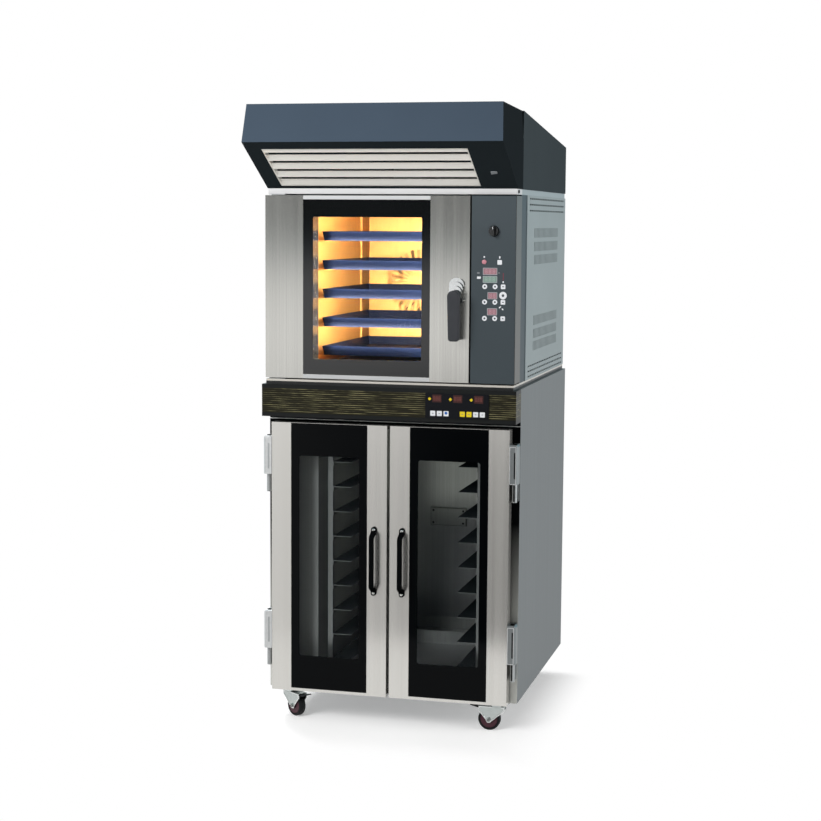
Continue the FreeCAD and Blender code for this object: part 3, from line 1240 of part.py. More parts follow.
def make_spigot():
    """Duct spigot on the roof: sloped flange plate, and on it a swaged collar for a round duct.
    The collar's foot is cut to the slope, and its step stops the duct above the flange."""
    reach = SPIGOT_RADIUS + SPIGOT_FLANGE
    y = (spigot_y - reach, spigot_y + reach)
    z_low = roof_z(y[1])
    z_step = roof_z(y[0]) + SHEET + SPIGOT_UPSTAND
    foot = V(0, spigot_y, z_low)
    step = V(0, spigot_y, z_step)
    wide = SPIGOT_RADIUS + SPIGOT_STEP
    z_seat = [roof_z(end) + SHEET for end in y]
    plate = [(y[0], roof_z(y[0])), (y[1], z_low), (y[1], z_seat[1]), (y[0], z_seat[0])]
    flange = prism_x(plate, (-reach, reach))
    flange = flange.cut(Part.makeCylinder(SPIGOT_RADIUS - SHEET, z_step - z_low, foot, AXIS_Z))
    skirt = Part.makeCylinder(wide, z_step - z_low, foot, AXIS_Z)
    room = Part.makeCylinder(wide - SHEET, z_step - z_low - SHEET, foot, AXIS_Z)
    tube = Part.makeCylinder(SPIGOT_RADIUS, SPIGOT_LENGTH, step, AXIS_Z)
    bore = Part.makeCylinder(SPIGOT_RADIUS - SHEET, z_step - z_low + SPIGOT_LENGTH, foot, AXIS_Z)
    under = prism_x([(y[0], z_low), (y[1], z_low), (y[1], z_seat[1]), (y[0], z_seat[0])], (-reach, reach))
    collar = skirt.fuse(tube).cut(room.fuse([bore, under])).removeSplitter()
    return [flange, collar]


save("hood_rail", [make_rail()])
save("hood_shell", [make_shell()])
save("hood_visor", [make_visor()])
save("visor_louvres", [make_louvres()])
save("hood_switch", [make_switch()])
save("blower_housing", make_blower())
save("blower_wheel", [make_blower_wheel()])
save("exhaust_spigot", make_spigot())


# Rear connections: cable gland and water inlet on the back of the oven
def make_fittings():
    """Gland and threaded inlet nipple, each with a flat nut against the casing."""
    solids = []
    z = z_base + FITTING_LEVEL
    for index, (radius, bore) in enumerate(((GLAND_RADIUS, GLAND_BORE), (INLET_RADIUS, INLET_BORE))):
        x = half_oven - FITTING_IN - index * FITTING_PITCH
        nut = Part.makeCylinder(FITTING_NUT, FITTING_NUT_LONG, V(x, y_rear, z), AXIS_Y)
        barrel = Part.makeCylinder(radius, FITTING_REACH, V(x, y_rear, z), AXIS_Y)
        hole = Part.makeCylinder(bore, FITTING_REACH, V(x, y_rear, z), AXIS_Y)
        solids.append(nut.fuse(barrel).cut(hole).removeSplitter())
    return solids


save("rear_fittings", make_fittings())
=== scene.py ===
import json
import bmesh
import bpy
import numpy as np
from mathutils import Matrix, Vector


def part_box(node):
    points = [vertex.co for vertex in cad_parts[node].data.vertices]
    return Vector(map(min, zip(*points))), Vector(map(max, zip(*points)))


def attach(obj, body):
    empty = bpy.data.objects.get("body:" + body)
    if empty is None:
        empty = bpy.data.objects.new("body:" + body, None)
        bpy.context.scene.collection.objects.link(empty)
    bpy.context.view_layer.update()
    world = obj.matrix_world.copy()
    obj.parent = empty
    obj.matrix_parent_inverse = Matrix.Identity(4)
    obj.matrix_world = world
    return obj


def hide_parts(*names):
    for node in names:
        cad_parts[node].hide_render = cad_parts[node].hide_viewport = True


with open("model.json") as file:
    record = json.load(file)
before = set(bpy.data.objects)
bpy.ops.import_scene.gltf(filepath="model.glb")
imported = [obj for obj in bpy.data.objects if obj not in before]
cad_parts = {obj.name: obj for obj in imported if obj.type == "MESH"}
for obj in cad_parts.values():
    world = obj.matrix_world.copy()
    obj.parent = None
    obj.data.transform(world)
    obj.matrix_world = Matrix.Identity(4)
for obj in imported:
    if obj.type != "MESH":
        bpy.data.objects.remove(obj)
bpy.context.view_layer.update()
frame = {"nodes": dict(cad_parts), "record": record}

nodes = frame["nodes"]

# Camera: a long lens that stands right of the oven door, level with the head of the door,
# turned a little to the left and tipped down so that hood and casters both show.
PHOTO_PX = 821
FOCAL_PX = 1738.13
SENSOR_MM = 36.0
CAMERA_PLACE = (1.59083, -6.23659, 1.79796)
CAMERA_YAW = 14.48
CAMERA_PITCH = 6.16
CAMERA_ROLL = -0.39
CLIP_END = 60
scene = bpy.context.scene
scene.view_settings.view_transform = "Standard"
camera = bpy.data.objects.new("camera", bpy.data.cameras.new("camera"))
scene.collection.objects.link(camera)
camera.data.sensor_width = SENSOR_MM
camera.data.lens = FOCAL_PX * SENSOR_MM / PHOTO_PX
camera.data.clip_end = CLIP_END
yaw, pitch, roll = np.radians([CAMERA_YAW, CAMERA_PITCH, CAMERA_ROLL])
ahead = Vector((-np.sin(yaw) * np.cos(pitch), np.cos(yaw) * np.cos(pitch), -np.sin(pitch)))
level = Vector((np.cos(yaw), np.sin(yaw), 0))
above = level.cross(ahead)
right = level * np.cos(roll) - above * np.sin(roll)
upward = above * np.cos(roll) + level * np.sin(roll)
camera.matrix_world = Matrix((right, upward, -ahead)).transposed().to_4x4()
camera.location = CAMERA_PLACE
scene.camera = camera


# Studio: a soft lamp in front on the left, a wide one on the right, one high behind on the left,
# and a low narrow one that reaches under the visor.
def linear(code):
    """sRGB hex code to linear colour with alpha 1."""
    parts = np.array([int(code[i:i + 2], 16) for i in (1, 3, 5)]) / 255
    lin = np.where(parts <= 0.04045, parts / 12.92, ((parts + 0.055) / 1.055) ** 2.4)
    return (*lin.tolist(), 1.0)


def soft_box(name, place, target, wide, high, watts, colour="#ffffff", spread=180):
    """A rectangular area lamp at a place, turned to face a target, with a spread in degrees."""
    lamp = bpy.data.lights.new(name, "AREA")
    lamp.shape = "RECTANGLE"
    lamp.size = wide
    lamp.size_y = high
    lamp.energy = watts
    lamp.color = linear(colour)[:3]
    lamp.spread = np.radians(spread)
    holder = bpy.data.objects.new(name, lamp)
    scene.collection.objects.link(holder)
    holder.location = place
    holder.rotation_euler = (Vector(target) - Vector(place)).to_track_quat("-Z", "Y").to_euler()


soft_box("key_box", (-1.76, -4.18, 3.24), (0, -0.4, 1.3), 2.0, 2.0, 152)
soft_box("side_box", (5.2, -0.9, 2.2), (0.45, 0.1, 1.2), 2.4, 3.0, 105)
soft_box("back_box", (-3.0, 3.2, 4.6), (0, 0.2, 1.2), 2.4, 2.4, 240)
soft_box("low_box", (0.3, -3.3, 0.5), (0, -0.45, 2.02), 1.6, 0.2, 0.5, spread=16)


# Room: even dim light, and what polished metal mirrors. White paper hangs behind; in front a white
# wall on the left darkens to the right and above the floor line. Fades run along the view's axes.
def settle(tree, target, settings=None, links=None):
    """Set a node's properties or inputs, and link its inputs to sockets or to nodes' first outputs."""
    for key, value in (settings or {}).items():
        if isinstance(key, int) or key in target.inputs:
            target.inputs[key].default_value = value
        else:
            setattr(target, key, value)
    for key, source in (links or {}).items():
        tree.links.new(getattr(source, "outputs", [source])[0], target.inputs[key])
    return target


def node(tree, kind, settings=None, links=None):
    """Add one shader node with its settings and links."""
    return settle(tree, tree.nodes.new("ShaderNode" + kind), settings, links)


ROOM_LIGHT = 0.3
WALL_LIGHT = 1.2
RIGHT_FADE = (-0.355, -0.205)
LOW_FADE = (-0.07, -0.12)
FLOOR_LINE_FADE = (-0.006, -0.034)
FLOOR_LINE_LIGHT = (0.04, 1.12)
BACK_FADE = (-0.6, -0.1)
SMOOTH = {"interpolation_type": "SMOOTHSTEP"}
SHARE = {"data_type": "FLOAT"}
TIMES = {"operation": "MULTIPLY"}
LARGER = {"operation": "MAXIMUM"}
world = bpy.data.worlds.new("white studio")
scene.world = world
world.use_nodes = True
tree = world.node_tree
tree.nodes.clear()
path = node(tree, "LightPath")
way = node(tree, "SeparateXYZ", {}, {0: node(tree, "TexCoord").outputs["Generated"]})
right_dark = node(tree, "MapRange", {**SMOOTH, 1: RIGHT_FADE[0], 2: RIGHT_FADE[1], 4: WALL_LIGHT},
                  {0: way.outputs["X"]})
low_zone = node(tree, "MapRange", {**SMOOTH, 1: LOW_FADE[0], 2: LOW_FADE[1]}, {0: way.outputs["Z"]})
corner = node(tree, "Math", TIMES, {0: right_dark, 1: low_zone})
wall = node(tree, "Math", {"operation": "SUBTRACT", 0: WALL_LIGHT}, {1: corner})
floor_line = node(tree, "MapRange", {**SMOOTH, 1: FLOOR_LINE_FADE[0], 2: FLOOR_LINE_FADE[1],
                                     3: FLOOR_LINE_LIGHT[0], 4: FLOOR_LINE_LIGHT[1]}, {0: way.outputs["Z"]})
front = node(tree, "Math", TIMES, {0: wall, 1: floor_line})
back_share = node(tree, "MapRange", {1: BACK_FADE[0], 2: BACK_FADE[1]}, {0: way.outputs["Y"]})
around = node(tree, "Mix", {**SHARE, 3: 1.0}, {0: back_share, 2: front})
mirror = node(tree, "Math", LARGER,
              {0: path.outputs["Is Glossy Ray"], 1: path.outputs["Is Transmission Ray"]})
glow = node(tree, "Mix", {**SHARE, 2: ROOM_LIGHT}, {0: mirror, 3: around})
seen = node(tree, "Mix", {**SHARE, 3: 1.0}, {0: path.outputs["Is Camera Ray"], 2: glow})
not_mirror = node(tree, "Math", {"operation": "SUBTRACT", 0: 1.0}, {1: mirror})
plain = node(tree, "Math", {**LARGER, "use_clamp": True}, {0: not_mirror, 1: floor_line})
tint = node(tree, "MixRGB", {1: linear("#b9dbe6"), 2: linear("#ffffff")}, {0: plain})
air = node(tree, "Background", {}, {"Color": tint, "Strength": seen})
node(tree, "OutputWorld", {}, {"Surface": air})

# Floor: white paper that keeps the stack's shadow round its foot and turns plain white further out.
# Light that bounces off it comes from a greyer tone, so that the underside stays dark.
FLOOR_REACH = 1.7
FOOTPRINT = (0.42, 0.52, 0.0)
SHADOW_FADE = (-0.02, 0.2)
PAPER_LIFT = 0.28
floor_mesh = bpy.data.meshes.new("floor")
floor_corners = np.array([(-1, -1, 0), (1, -1, 0), (1, 1, 0), (-1, 1, 0)]) * FLOOR_REACH
floor_mesh.from_pydata(floor_corners.tolist(), [], [(0, 1, 2, 3)])
floor = bpy.data.objects.new("floor", floor_mesh)
scene.collection.objects.link(floor)
paper = bpy.data.materials.new("white backdrop paper")
paper.use_nodes = True
tree = paper.node_tree
tree.nodes.clear()
path = node(tree, "LightPath")
spot = node(tree, "VectorMath", {"operation": "ABSOLUTE"}, {0: node(tree, "TexCoord").outputs["Object"]})
beyond = node(tree, "VectorMath", {"operation": "SUBTRACT", 1: FOOTPRINT}, {0: spot})
sides = node(tree, "SeparateXYZ", {}, {0: beyond})
away = node(tree, "Math", LARGER, {0: sides.outputs["X"], 1: sides.outputs["Y"]})
far = node(tree, "MapRange", {**SMOOTH, 1: SHADOW_FADE[0], 2: SHADOW_FADE[1]}, {0: away})
matt = node(tree, "BsdfDiffuse", {"Color": linear("#f4f4f4")})
bounce = node(tree, "BsdfDiffuse", {"Color": linear("#a0a0a0")})
lift = node(tree, "Emission", {"Color": linear("#ffffff"), "Strength": PAPER_LIFT})
near = node(tree, "AddShader", {}, {0: matt, 1: lift})
white = node(tree, "Emission", {"Color": linear("#ffffff"), "Strength": 1.0})
shown = node(tree, "MixShader", {}, {0: far, 1: near, 2: white})
mirror = node(tree, "Math", LARGER,
              {0: path.outputs["Is Glossy Ray"], 1: path.outputs["Is Transmission Ray"]})
seen = node(tree, "Math", LARGER, {0: path.outputs["Is Camera Ray"], 1: mirror})
both = node(tree, "MixShader", {}, {0: seen, 1: bounce, 2: shown})
node(tree, "OutputMaterial", {}, {"Surface": both})
floor_mesh.materials.append(paper)


# Casters: plates and rimmed forks pressed from steel with bright zinc plate, wheels moulded in
# black rubber round a maroon nylon centre, and black stamped brake pedals on the front pair.
MM = 0.001


def surface(name):
    """A new material with its node tree, its Principled shader and the socket that gives the place."""
    made = bpy.data.materials.new(name)
    made.use_nodes = True
    tree = made.node_tree
    return made, tree, tree.nodes["Principled BSDF"], node(tree, "TexCoord").outputs["Object"]


def dress(material, *names):
    """Give CAD nodes one finish."""
    for name in names:
        slots = nodes[name].data.materials
        slots.clear()
        slots.append(material)


def shaded(colour, share):
    """A hex colour with its light cut to a share."""
    return [c * share for c in linear(colour)[:3]] + [1]


def zinc_plate(name, colour, rough):
    """Electroplated zinc: bright but cloudy. Its clouds are near 8 mm across and its grain near 1 mm."""
    made, tree, shader, place = surface(name)
    cloud = node(tree, "TexNoise", {"Scale": 1 / (8 * MM), "Detail": 4.0}, {"Vector": place})
    tone = node(tree, "MixRGB", {1: shaded(colour, 0.72), 2: linear(colour)}, {0: cloud})
    gloss = node(tree, "MapRange", {3: rough - 0.08, 4: rough + 0.12}, {0: cloud})
    grain = node(tree, "TexNoise", {"Scale": 1 / (1 * MM), "Detail": 2.0}, {"Vector": place})
    bump = node(tree, "Bump", {"Strength": 0.08, "Distance": 0.1 * MM}, {"Height": grain})
    settle(tree, shader, {"Metallic": 1.0}, {"Base Color": tone, "Roughness": gloss, "Normal": bump})
    return made


def moulding(name, colour, rough, shine=0.2):
    """Moulded plastic or rubber: even colour with a slow drift, and the tool's spark grain as a
    noise bump. The real grain is near 0.2 mm; it is drawn at 0.8 mm so that it shows."""
    made, tree, shader, place = surface(name)
    drift = node(tree, "TexNoise", {"Scale": 1 / (40 * MM), "Detail": 3.0}, {"Vector": place})
    tone = node(tree, "MixRGB", {1: shaded(colour, 0.8), 2: linear(colour)}, {0: drift})
    grain = node(tree, "TexNoise", {"Scale": 1 / (0.8 * MM), "Detail": 1.0}, {"Vector": place})
    bump = node(tree, "Bump", {"Strength": 0.25, "Distance": 0.15 * MM}, {"Height": grain})
    settle(tree, shader, {"Roughness": rough, "Specular IOR Level": shine},
           {"Base Color": tone, "Normal": bump})
    return made


def add_piece(name, grids, material, body):
    """One mesh from grids of points: each row meets the next row and each column the next column,
    round to the first. Rows that shrink to one point are merged into poles, and faces point out."""
    corners = []
    quads = []
    start = 0
    for grid in grids:
        rows, columns = grid.shape[:2]
        here = start + np.arange(rows * columns).reshape(rows, columns)
        beside = np.roll(here, -1, axis=1)
        quads.append(np.stack([here[:-1], beside[:-1], beside[1:], here[1:]], axis=-1).reshape(-1, 4))
        corners.append(grid.reshape(-1, 3))
        start += rows * columns
    mesh = bpy.data.meshes.new(name)
    mesh.from_pydata(np.concatenate(corners).tolist(), [], np.concatenate(quads).tolist())
    work = bmesh.new()
    work.from_mesh(mesh)
    bmesh.ops.remove_doubles(work, verts=work.verts, dist=2e-6)
    bmesh.ops.recalc_face_normals(work, faces=work.faces)
    work.to_mesh(mesh)
    work.free()
    mesh.materials.append(material)
    piece = bpy.data.objects.new(name, mesh)
    scene.collection.objects.link(piece)
    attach(piece, body)
    return piece


def turned(place, axis, profile, sides=28):
    """Surface of turning: each (radius, distance along the axis) in millimetres becomes a ring
    round the axis through the place. Radius 0 at both ends closes it."""
    axis = np.array(axis, dtype=float) / np.linalg.norm(axis)
    across = np.cross(axis, (0, 0, 1)) if abs(axis[2]) < 0.9 else np.array((1.0, 0, 0))
    across = across / np.linalg.norm(across)
    over = np.cross(axis, across)
    angle = np.linspace(0, 2 * np.pi, sides, endpoint=False)[None, :, None]
    radius, along = (np.array(profile) * MM).T
    ring = np.cos(angle) * across + np.sin(angle) * over
    return np.array(place) + radius[:, None, None] * ring + along[:, None, None] * axis


def drawn_in(outline, width):
    """A closed outline drawn in by a width: each corner moves along the sum of the inward normals of
    its two edges, over one plus their dot product."""
    edge = np.roll(outline, -1, axis=0) - outline
    edge = edge / np.linalg.norm(edge, axis=1, keepdims=True)
    inward = np.stack([-edge[:, 1], edge[:, 0]], axis=1)
    before = np.roll(inward, 1, axis=0)
    return outline + width * (before + inward) / (1 + (before * inward).sum(axis=1, keepdims=True))


def leg_rim(swivel, trail, axle, outline, face):
    """Pressed rim on one face of a fork leg: the leg's outline, in millimetres along the trail and up,
    is drawn in by each width of the rim's profile and stands as far proud of the face."""
    rows = []
    for width, proud in RIM_PROFILE:
        flat = drawn_in(outline, width)
        out = face + np.sign(face) * proud
        rows.append(swivel + (flat[:, :1] * trail + out * axle + flat[:, 1:] * np.array((0, 0, 1))) * MM)
    return np.stack(rows)


caster_zinc = zinc_plate("bright zinc plate on pressed steel", "#c3c9c7", 0.2)
# Painted highlight: the pressed fork rims wear a lighter copy of the forks' zinc plate.
rim_zinc_highlight = zinc_plate("bright zinc plate on fork rims", "#eceeed", 0.24)
dress(caster_zinc, "caster_plates", *[n for n in nodes if n.startswith("caster_fork")])
pedal_black = zinc_plate("black zinc plate on stamped pedals", "#2b2c2e", 0.4)
dress(pedal_black, *[n for n in nodes if n.startswith("brake_pedal")])
tyre_rubber = moulding("black moulded tyre rubber", "#17181a", 0.62)
wheel_nylon = moulding("maroon moulded nylon", "#57363f", 0.45)
nut_zinc = zinc_plate("dull zinc plate on axle nuts", "#8f928f", 0.4)
HEX_HEAD = [(0, 0), (6.5, 0), (6.5, 3.4), (5.6, 4.0), (3.2, 4.0), (2.8, 3.0), (0, 3.0)]
HEX_SIDES = 6
AXLE_END = 22.0
HUB_RING = [(12, 0), (12, 1.6), (16, 2.6), (29.5, 2.6), (30.8, 1.4), (30.8, 0), (12, 0)]
DISH_FACE = 10.0
LEG_FACE = 19.0
LEG_TOP = 88.6
LEG_FRONT = [(-28.6, LEG_TOP), (-28.6, 73.4), (16.8, 34.4), (22.4, 28.8), (33.6, 28.8), (39.2, 40.0)]
LEG_BACK = {"front": 65.0, "rear": 41.3}
LEG_BACK_FOOT = 70.6
RIM_PROFILE = ((0.0, -0.2), (0.9, 1.4), (3.4, 1.4), (4.4, -0.2), (0.0, -0.2))
joints = {joint["name"]: joint for joint in frame["record"]["behaviour"]["joints"]}
for name in [n for n in nodes if n.startswith("caster_wheel")]:
    dress(tyre_rubber, name)
    corner = name.replace("caster_wheel_", "")
    centre = np.array(joints["roll_" + corner]["pos_m"])
    axle = np.array(joints["roll_" + corner]["axis"])
    swivel = np.array(joints["swivel_" + corner]["pos_m"]) * (1, 1, 0)
    trail = (centre - swivel) * (1, 1, 0)
    trail = trail / np.linalg.norm(trail)
    back = LEG_BACK[corner.split("_")[0]]
    leg = np.array(LEG_FRONT + [(back, LEG_BACK_FOOT), (back, LEG_TOP)])
    hubs = []
    nuts = []
    rims = []
    for side in (1, -1):
        hubs.append(turned(centre + side * DISH_FACE * MM * axle, side * axle, HUB_RING))
        nuts.append(turned(centre + side * AXLE_END * MM * axle, side * axle, HEX_HEAD, HEX_SIDES))
        rims.append(leg_rim(swivel, trail, axle, leg, side * LEG_FACE))
    add_piece("wheel_centre_" + corner, hubs, wheel_nylon, "wheel_" + corner)
    add_piece("axle_nuts_" + corner, nuts, nut_zinc, "fork_" + corner)
    add_piece("fork_rims_" + corner, rims, rim_zinc_highlight, "fork_" + corner)


# Proofing cabinet: foam-filled panels skinned in satin stainless sheet, with a water pan and an air
# duct inside. Two dim lamps stand in for the light that the panes let in.
def brushed(name, colour, rough, grain, metal, contrast=0.16, streak_mm=9.0, across=0.0, shine=0.5):
    """Belt-ground steel: noise stretched along the grain direction (x, y or z) drives tone, roughness
    and a fine bump. Real scratches are near 0.1 mm wide; they are drawn wider so that they show.
    The share across makes upright sheet mirror softly across its upright scratches."""
    made, tree, shader, place = surface(name)
    fine = [1 / (2.5 * MM)] * 3
    wide = [1 / (streak_mm * MM)] * 3
    fine["xyz".index(grain)] = 1 / (1500 * MM)
    wide["xyz".index(grain)] = 1 / (2500 * MM)
    hair = node(tree, "Mapping", {"Scale": fine}, {"Vector": place})
    band = node(tree, "Mapping", {"Scale": wide}, {"Vector": place})
    scratch = node(tree, "TexNoise", {"Scale": 1.0, "Detail": 1.0}, {"Vector": hair})
    streak = node(tree, "TexNoise", {"Scale": 1.0, "Detail": 2.0}, {"Vector": band})
    mixed = node(tree, "Math", {"operation": "ADD"}, {0: scratch, 1: streak})
    light = node(tree, "MapRange", {1: 0.7, 2: 1.3}, {0: mixed})
    tone = node(tree, "MixRGB", {1: shaded(colour, 1 - contrast), 2: linear(colour)}, {0: light})
    gloss = node(tree, "MapRange", {3: rough - 0.03, 4: rough + 0.04}, {0: streak})
    bump = node(tree, "Bump", {"Strength": 0.008, "Distance": 0.1 * MM}, {"Height": scratch})
    settle(tree, shader, {"Metallic": metal, "Anisotropic": across, "Specular IOR Level": shine},
           {"Base Color": tone, "Roughness": gloss, "Normal": bump})
    return made


cabinet_steel = brushed("satin stainless cabinet sheet", "#a9adae", 0.4, "z", metal=0.6)
dress(cabinet_steel, "proofer_back_wall", "proofer_floor")
duct_steel = brushed("folded stainless duct sheet", "#b0b5b3", 0.35, "z", metal=0.3)
dress(duct_steel, "proofer_humidifier")
PANE_LIGHT = "#f6f8ea"
soft_box("cabinet_lamp", (0.1, 0.3, 0.83), (0.1, 0.56, 0.83), 0.4, 0.36, 0.06, PANE_LIGHT, 50)
soft_box("duct_lamp", (-0.2, -0.15, 0.62), (-0.35, 0.3, 0.62), 0.1, 0.7, 0.06, PANE_LIGHT, 60)


# Racks: posts and runners folded from the same sheet. The runners' tops carry painted shade: near black and
# not metallic, standing in for the dark cabinet that they mirror.
def worked_tone(material):
    """A material's node tree, its Principled shader and the socket that colours it so far."""
    tree = material.node_tree
    shader = tree.nodes["Principled BSDF"]
    return tree, shader, shader.inputs["Base Color"].links[0].from_socket


def second_tone(material, reading, axis, edge, colour, above=True):
    """A second colour where the place or the facing of the surface, along one axis of the part, lies
    above an edge, or below it. Gives the node that marks that area with 1."""
    tree, shader, tone = worked_tone(material)
    if reading == "place":
        source = node(tree, "TexCoord").outputs["Object"]
    else:
        source = node(tree, "NewGeometry").outputs["True Normal"]
    axes = node(tree, "SeparateXYZ", {}, {0: source})
    side = "GREATER_THAN" if above else "LESS_THAN"
    area = node(tree, "Math", {"operation": side, 1: float(edge)}, {0: axes.outputs[axis]})
    coat = node(tree, "MixRGB", {2: linear(colour)}, {0: area, 1: tone})
    settle(tree, shader, {}, {"Base Color": coat})
    return area


FACE_ON = 0.5
RACK_METAL = 0.8
rack_steel = brushed("folded stainless rack sheet", "#8c9190", 0.3, "y", metal=RACK_METAL, shine=0.0)
# Painted shade: faces of the racks that point upward are coloured near black and lose their metal.
painted_shade_tops = second_tone(rack_steel, "facing", "Z", FACE_ON, "#24292b")
tree, shader = worked_tone(rack_steel)[:2]
bright = node(tree, "MapRange", {3: RACK_METAL, 4: 0.0}, {0: painted_shade_tops})
settle(tree, shader, {}, {"Metallic": bright})
dress(rack_steel, "proofer_racks")

# Side walls and roof: the same sheet. Their front edges carry painted shade, black at the top and pale steel
# towards the floor, and a painted highlight runs as a thin pale line along their front at the roof, above the
# doors.
EDGE_SHADE_FADE = (0.18, 0.75)
HIGHLIGHT_LINE_Z = 1.095
HIGHLIGHT_LINE_HALF = 1.5 * MM
wall_steel = brushed("satin stainless wall sheet", "#898e90", 0.42, "z", metal=0.35, contrast=0.1,
                     streak_mm=14.0, shine=0.0)
tree, shader, wall_tone = worked_tone(wall_steel)
facing = node(tree, "SeparateXYZ", {}, {0: node(tree, "NewGeometry").outputs["True Normal"]})
edge_on = node(tree, "Math", {"operation": "LESS_THAN", 1: -FACE_ON}, {0: facing.outputs["Y"]})
spot = node(tree, "SeparateXYZ", {}, {0: node(tree, "TexCoord").outputs["Object"]})
# Painted shade: the front edges run from pale steel near the floor to black at the top.
edge_shade_share = node(tree, "MapRange", {1: EDGE_SHADE_FADE[0], 2: EDGE_SHADE_FADE[1]}, {0: spot.outputs["Z"]})
painted_edge_shade = node(tree, "MixRGB", {1: linear("#d8d8d2"), 2: linear("#0d0f10")}, {0: edge_shade_share})
# Painted highlight: a thin pale line across the front edges at the roof.
highlight_line = node(tree, "Math", {"operation": "COMPARE", 1: HIGHLIGHT_LINE_Z, 2: HIGHLIGHT_LINE_HALF}, {0: spot.outputs["Z"]})
painted_edges = node(tree, "MixRGB", {2: linear("#d4d6d4")}, {0: highlight_line, 1: painted_edge_shade})
coat = node(tree, "MixRGB", {}, {0: edge_on, 1: wall_tone, 2: painted_edges})
settle(tree, shader, {}, {"Base Color": coat})
dress(wall_steel, "proofer_side_walls", "proofer_roof")


# Screws of the cover over the heater leads: steel with black zinc plate. Their pan heads hold the
# cover's four corners to the back wall.
def span(name):
    """A CAD node's lowest and highest corners at rest, in millimetres."""
    return [np.array(v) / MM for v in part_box(name)]


screw_black = zinc_plate("black zinc plate on screw heads", "#2b2c2e", 0.4)
PAN_HEAD = [(0, 0), (4.4, 0), (4.4, 1.2), (3.6, 2.2), (1.6, 2.7), (1.2, 1.6), (0, 1.6)]
LEAD_COVER_PLACES = [(x, z) for x in (-62, 62) for z in (588, 638)]
LEAD_COVER_FACE = 12.0
cover_y = span("proofer_back_wall")[0][1] - LEAD_COVER_FACE
heads = [turned((x * MM, cover_y * MM, z * MM), (0, -1, 0), PAN_HEAD) for x, z in LEAD_COVER_PLACES]
add_piece("lead_cover_screws", heads, screw_black, "stack")

# Proofer fascia: an extruded aluminium strip, grooved along its length, anodised black-olive.
# A grinding belt has bared the crests between the grooves in broken lines of dull gold.
RIB_PITCH = 7.25
FASCIA_BAND = 14.0
CREST_MIDDLE = 0.75
CREST_HALF = 0.13
WORN_LONG = 55.0
WORN_HIGH = 4.0
WORN_SHARE = (0.42, 0.66)
fascia_low, fascia_high = span("proofer_fascia")
groove_start = float(fascia_low[2] + FASCIA_BAND) * MM
groove_end = float(fascia_high[2] - fascia_low[2] - 2 * FASCIA_BAND) * MM
worn_scale = (1 / (WORN_LONG * MM), 1 / (WORN_LONG * MM), 1 / (WORN_HIGH * MM))
fascia_coat, tree, shader, place = surface("black-olive anodised aluminium")
axes = node(tree, "SeparateXYZ", {}, {0: place})
raised = node(tree, "Math", {"operation": "SUBTRACT", 1: groove_start}, {0: axes.outputs["Z"]})
phase = node(tree, "Math", {"operation": "DIVIDE", 1: RIB_PITCH * MM}, {0: raised})
within = node(tree, "Math", {"operation": "FRACT"}, {0: phase})
crest = node(tree, "Math", {"operation": "COMPARE", 1: CREST_MIDDLE, 2: CREST_HALF}, {0: within})
long_run = node(tree, "Mapping", {"Scale": worn_scale}, {"Vector": place})
wear = node(tree, "TexNoise", {"Scale": 1.0, "Detail": 3.0}, {"Vector": long_run})
worn = node(tree, "MapRange", {1: WORN_SHARE[0], 2: WORN_SHARE[1]}, {0: wear})
low_edge = node(tree, "Math", {"operation": "GREATER_THAN", 1: 0.0}, {0: raised})
high_edge = node(tree, "Math", {"operation": "LESS_THAN", 1: groove_end}, {0: raised})
field = node(tree, "Math", TIMES, {0: low_edge, 1: high_edge})
gold = node(tree, "Math", TIMES, {0: crest, 1: worn})
lines = node(tree, "Math", TIMES, {0: gold, 1: field})
ground = node(tree, "MixRGB", {1: linear("#191b1b"), 2: linear("#29271c")}, {0: field})
tone = node(tree, "MixRGB", {2: linear("#8e8963")}, {0: lines, 1: ground})
settle(tree, shader, {"Roughness": 0.42, "Specular IOR Level": 0.12}, {"Base Color": tone})
dress(fascia_coat, "proofer_fascia")


# Proofer keypad: black polyester film over domed switches, with three windows for red figures,
# a yellow sign beside each, and printed key caps.
def printed_film(name, colour, rough=0.35, glow=0.0):
    """Screen-printed film: even ink with a slow drift and a faint ripple of the film, near 3 mm long."""
    made, tree, shader, place = surface(name)
    drift = node(tree, "TexNoise", {"Scale": 1 / (6 * MM), "Detail": 2.0}, {"Vector": place})
    tone = node(tree, "MixRGB", {1: shaded(colour, 0.85), 2: linear(colour)}, {0: drift})
    ripple = node(tree, "TexNoise", {"Scale": 1 / (3 * MM), "Detail": 1.0}, {"Vector": place})
    bump = node(tree, "Bump", {"Strength": 0.06, "Distance": 0.1 * MM}, {"Height": ripple})
    settle(tree, shader, {"Roughness": rough, "Specular IOR Level": 0.15},
           {"Base Color": tone, "Normal": bump})
    if glow:
        settle(tree, shader, {"Emission Strength": glow}, {"Emission Color": tone})
    return made


def rounded(wide, high, corner, steps=5):
    """Outline of a rectangle with round corners: a quarter circle at each corner, in turn."""
    sweep = np.linspace(0, np.pi / 2, steps)
    angle = np.concatenate([sweep + k * np.pi / 2 for k in range(4)])
    side = np.repeat([1, -1, -1, 1], steps)
    rise = np.repeat([1, 1, -1, -1], steps)
    x = side * (wide / 2 - corner) + corner * np.cos(angle)
    z = rise * (high / 2 - corner) + corner * np.sin(angle)
    return np.stack([x, z], axis=1)


def front_rings(x, z, rings, lean=0.0):
    """Rings of (outline, y in millimetres) stacked towards the front, each outline placed round x and z
    and turned by a lean in degrees about the Y axis."""
    turn = np.radians(lean)
    spin = np.array([[np.cos(turn), -np.sin(turn)], [np.sin(turn), np.cos(turn)]])
    rows = []
    for outline, y in rings:
        flat = outline @ spin.T
        rows.append(np.stack([x + flat[:, 0], np.full(len(flat), y), z + flat[:, 1]], axis=1))
    return np.stack(rows) * MM


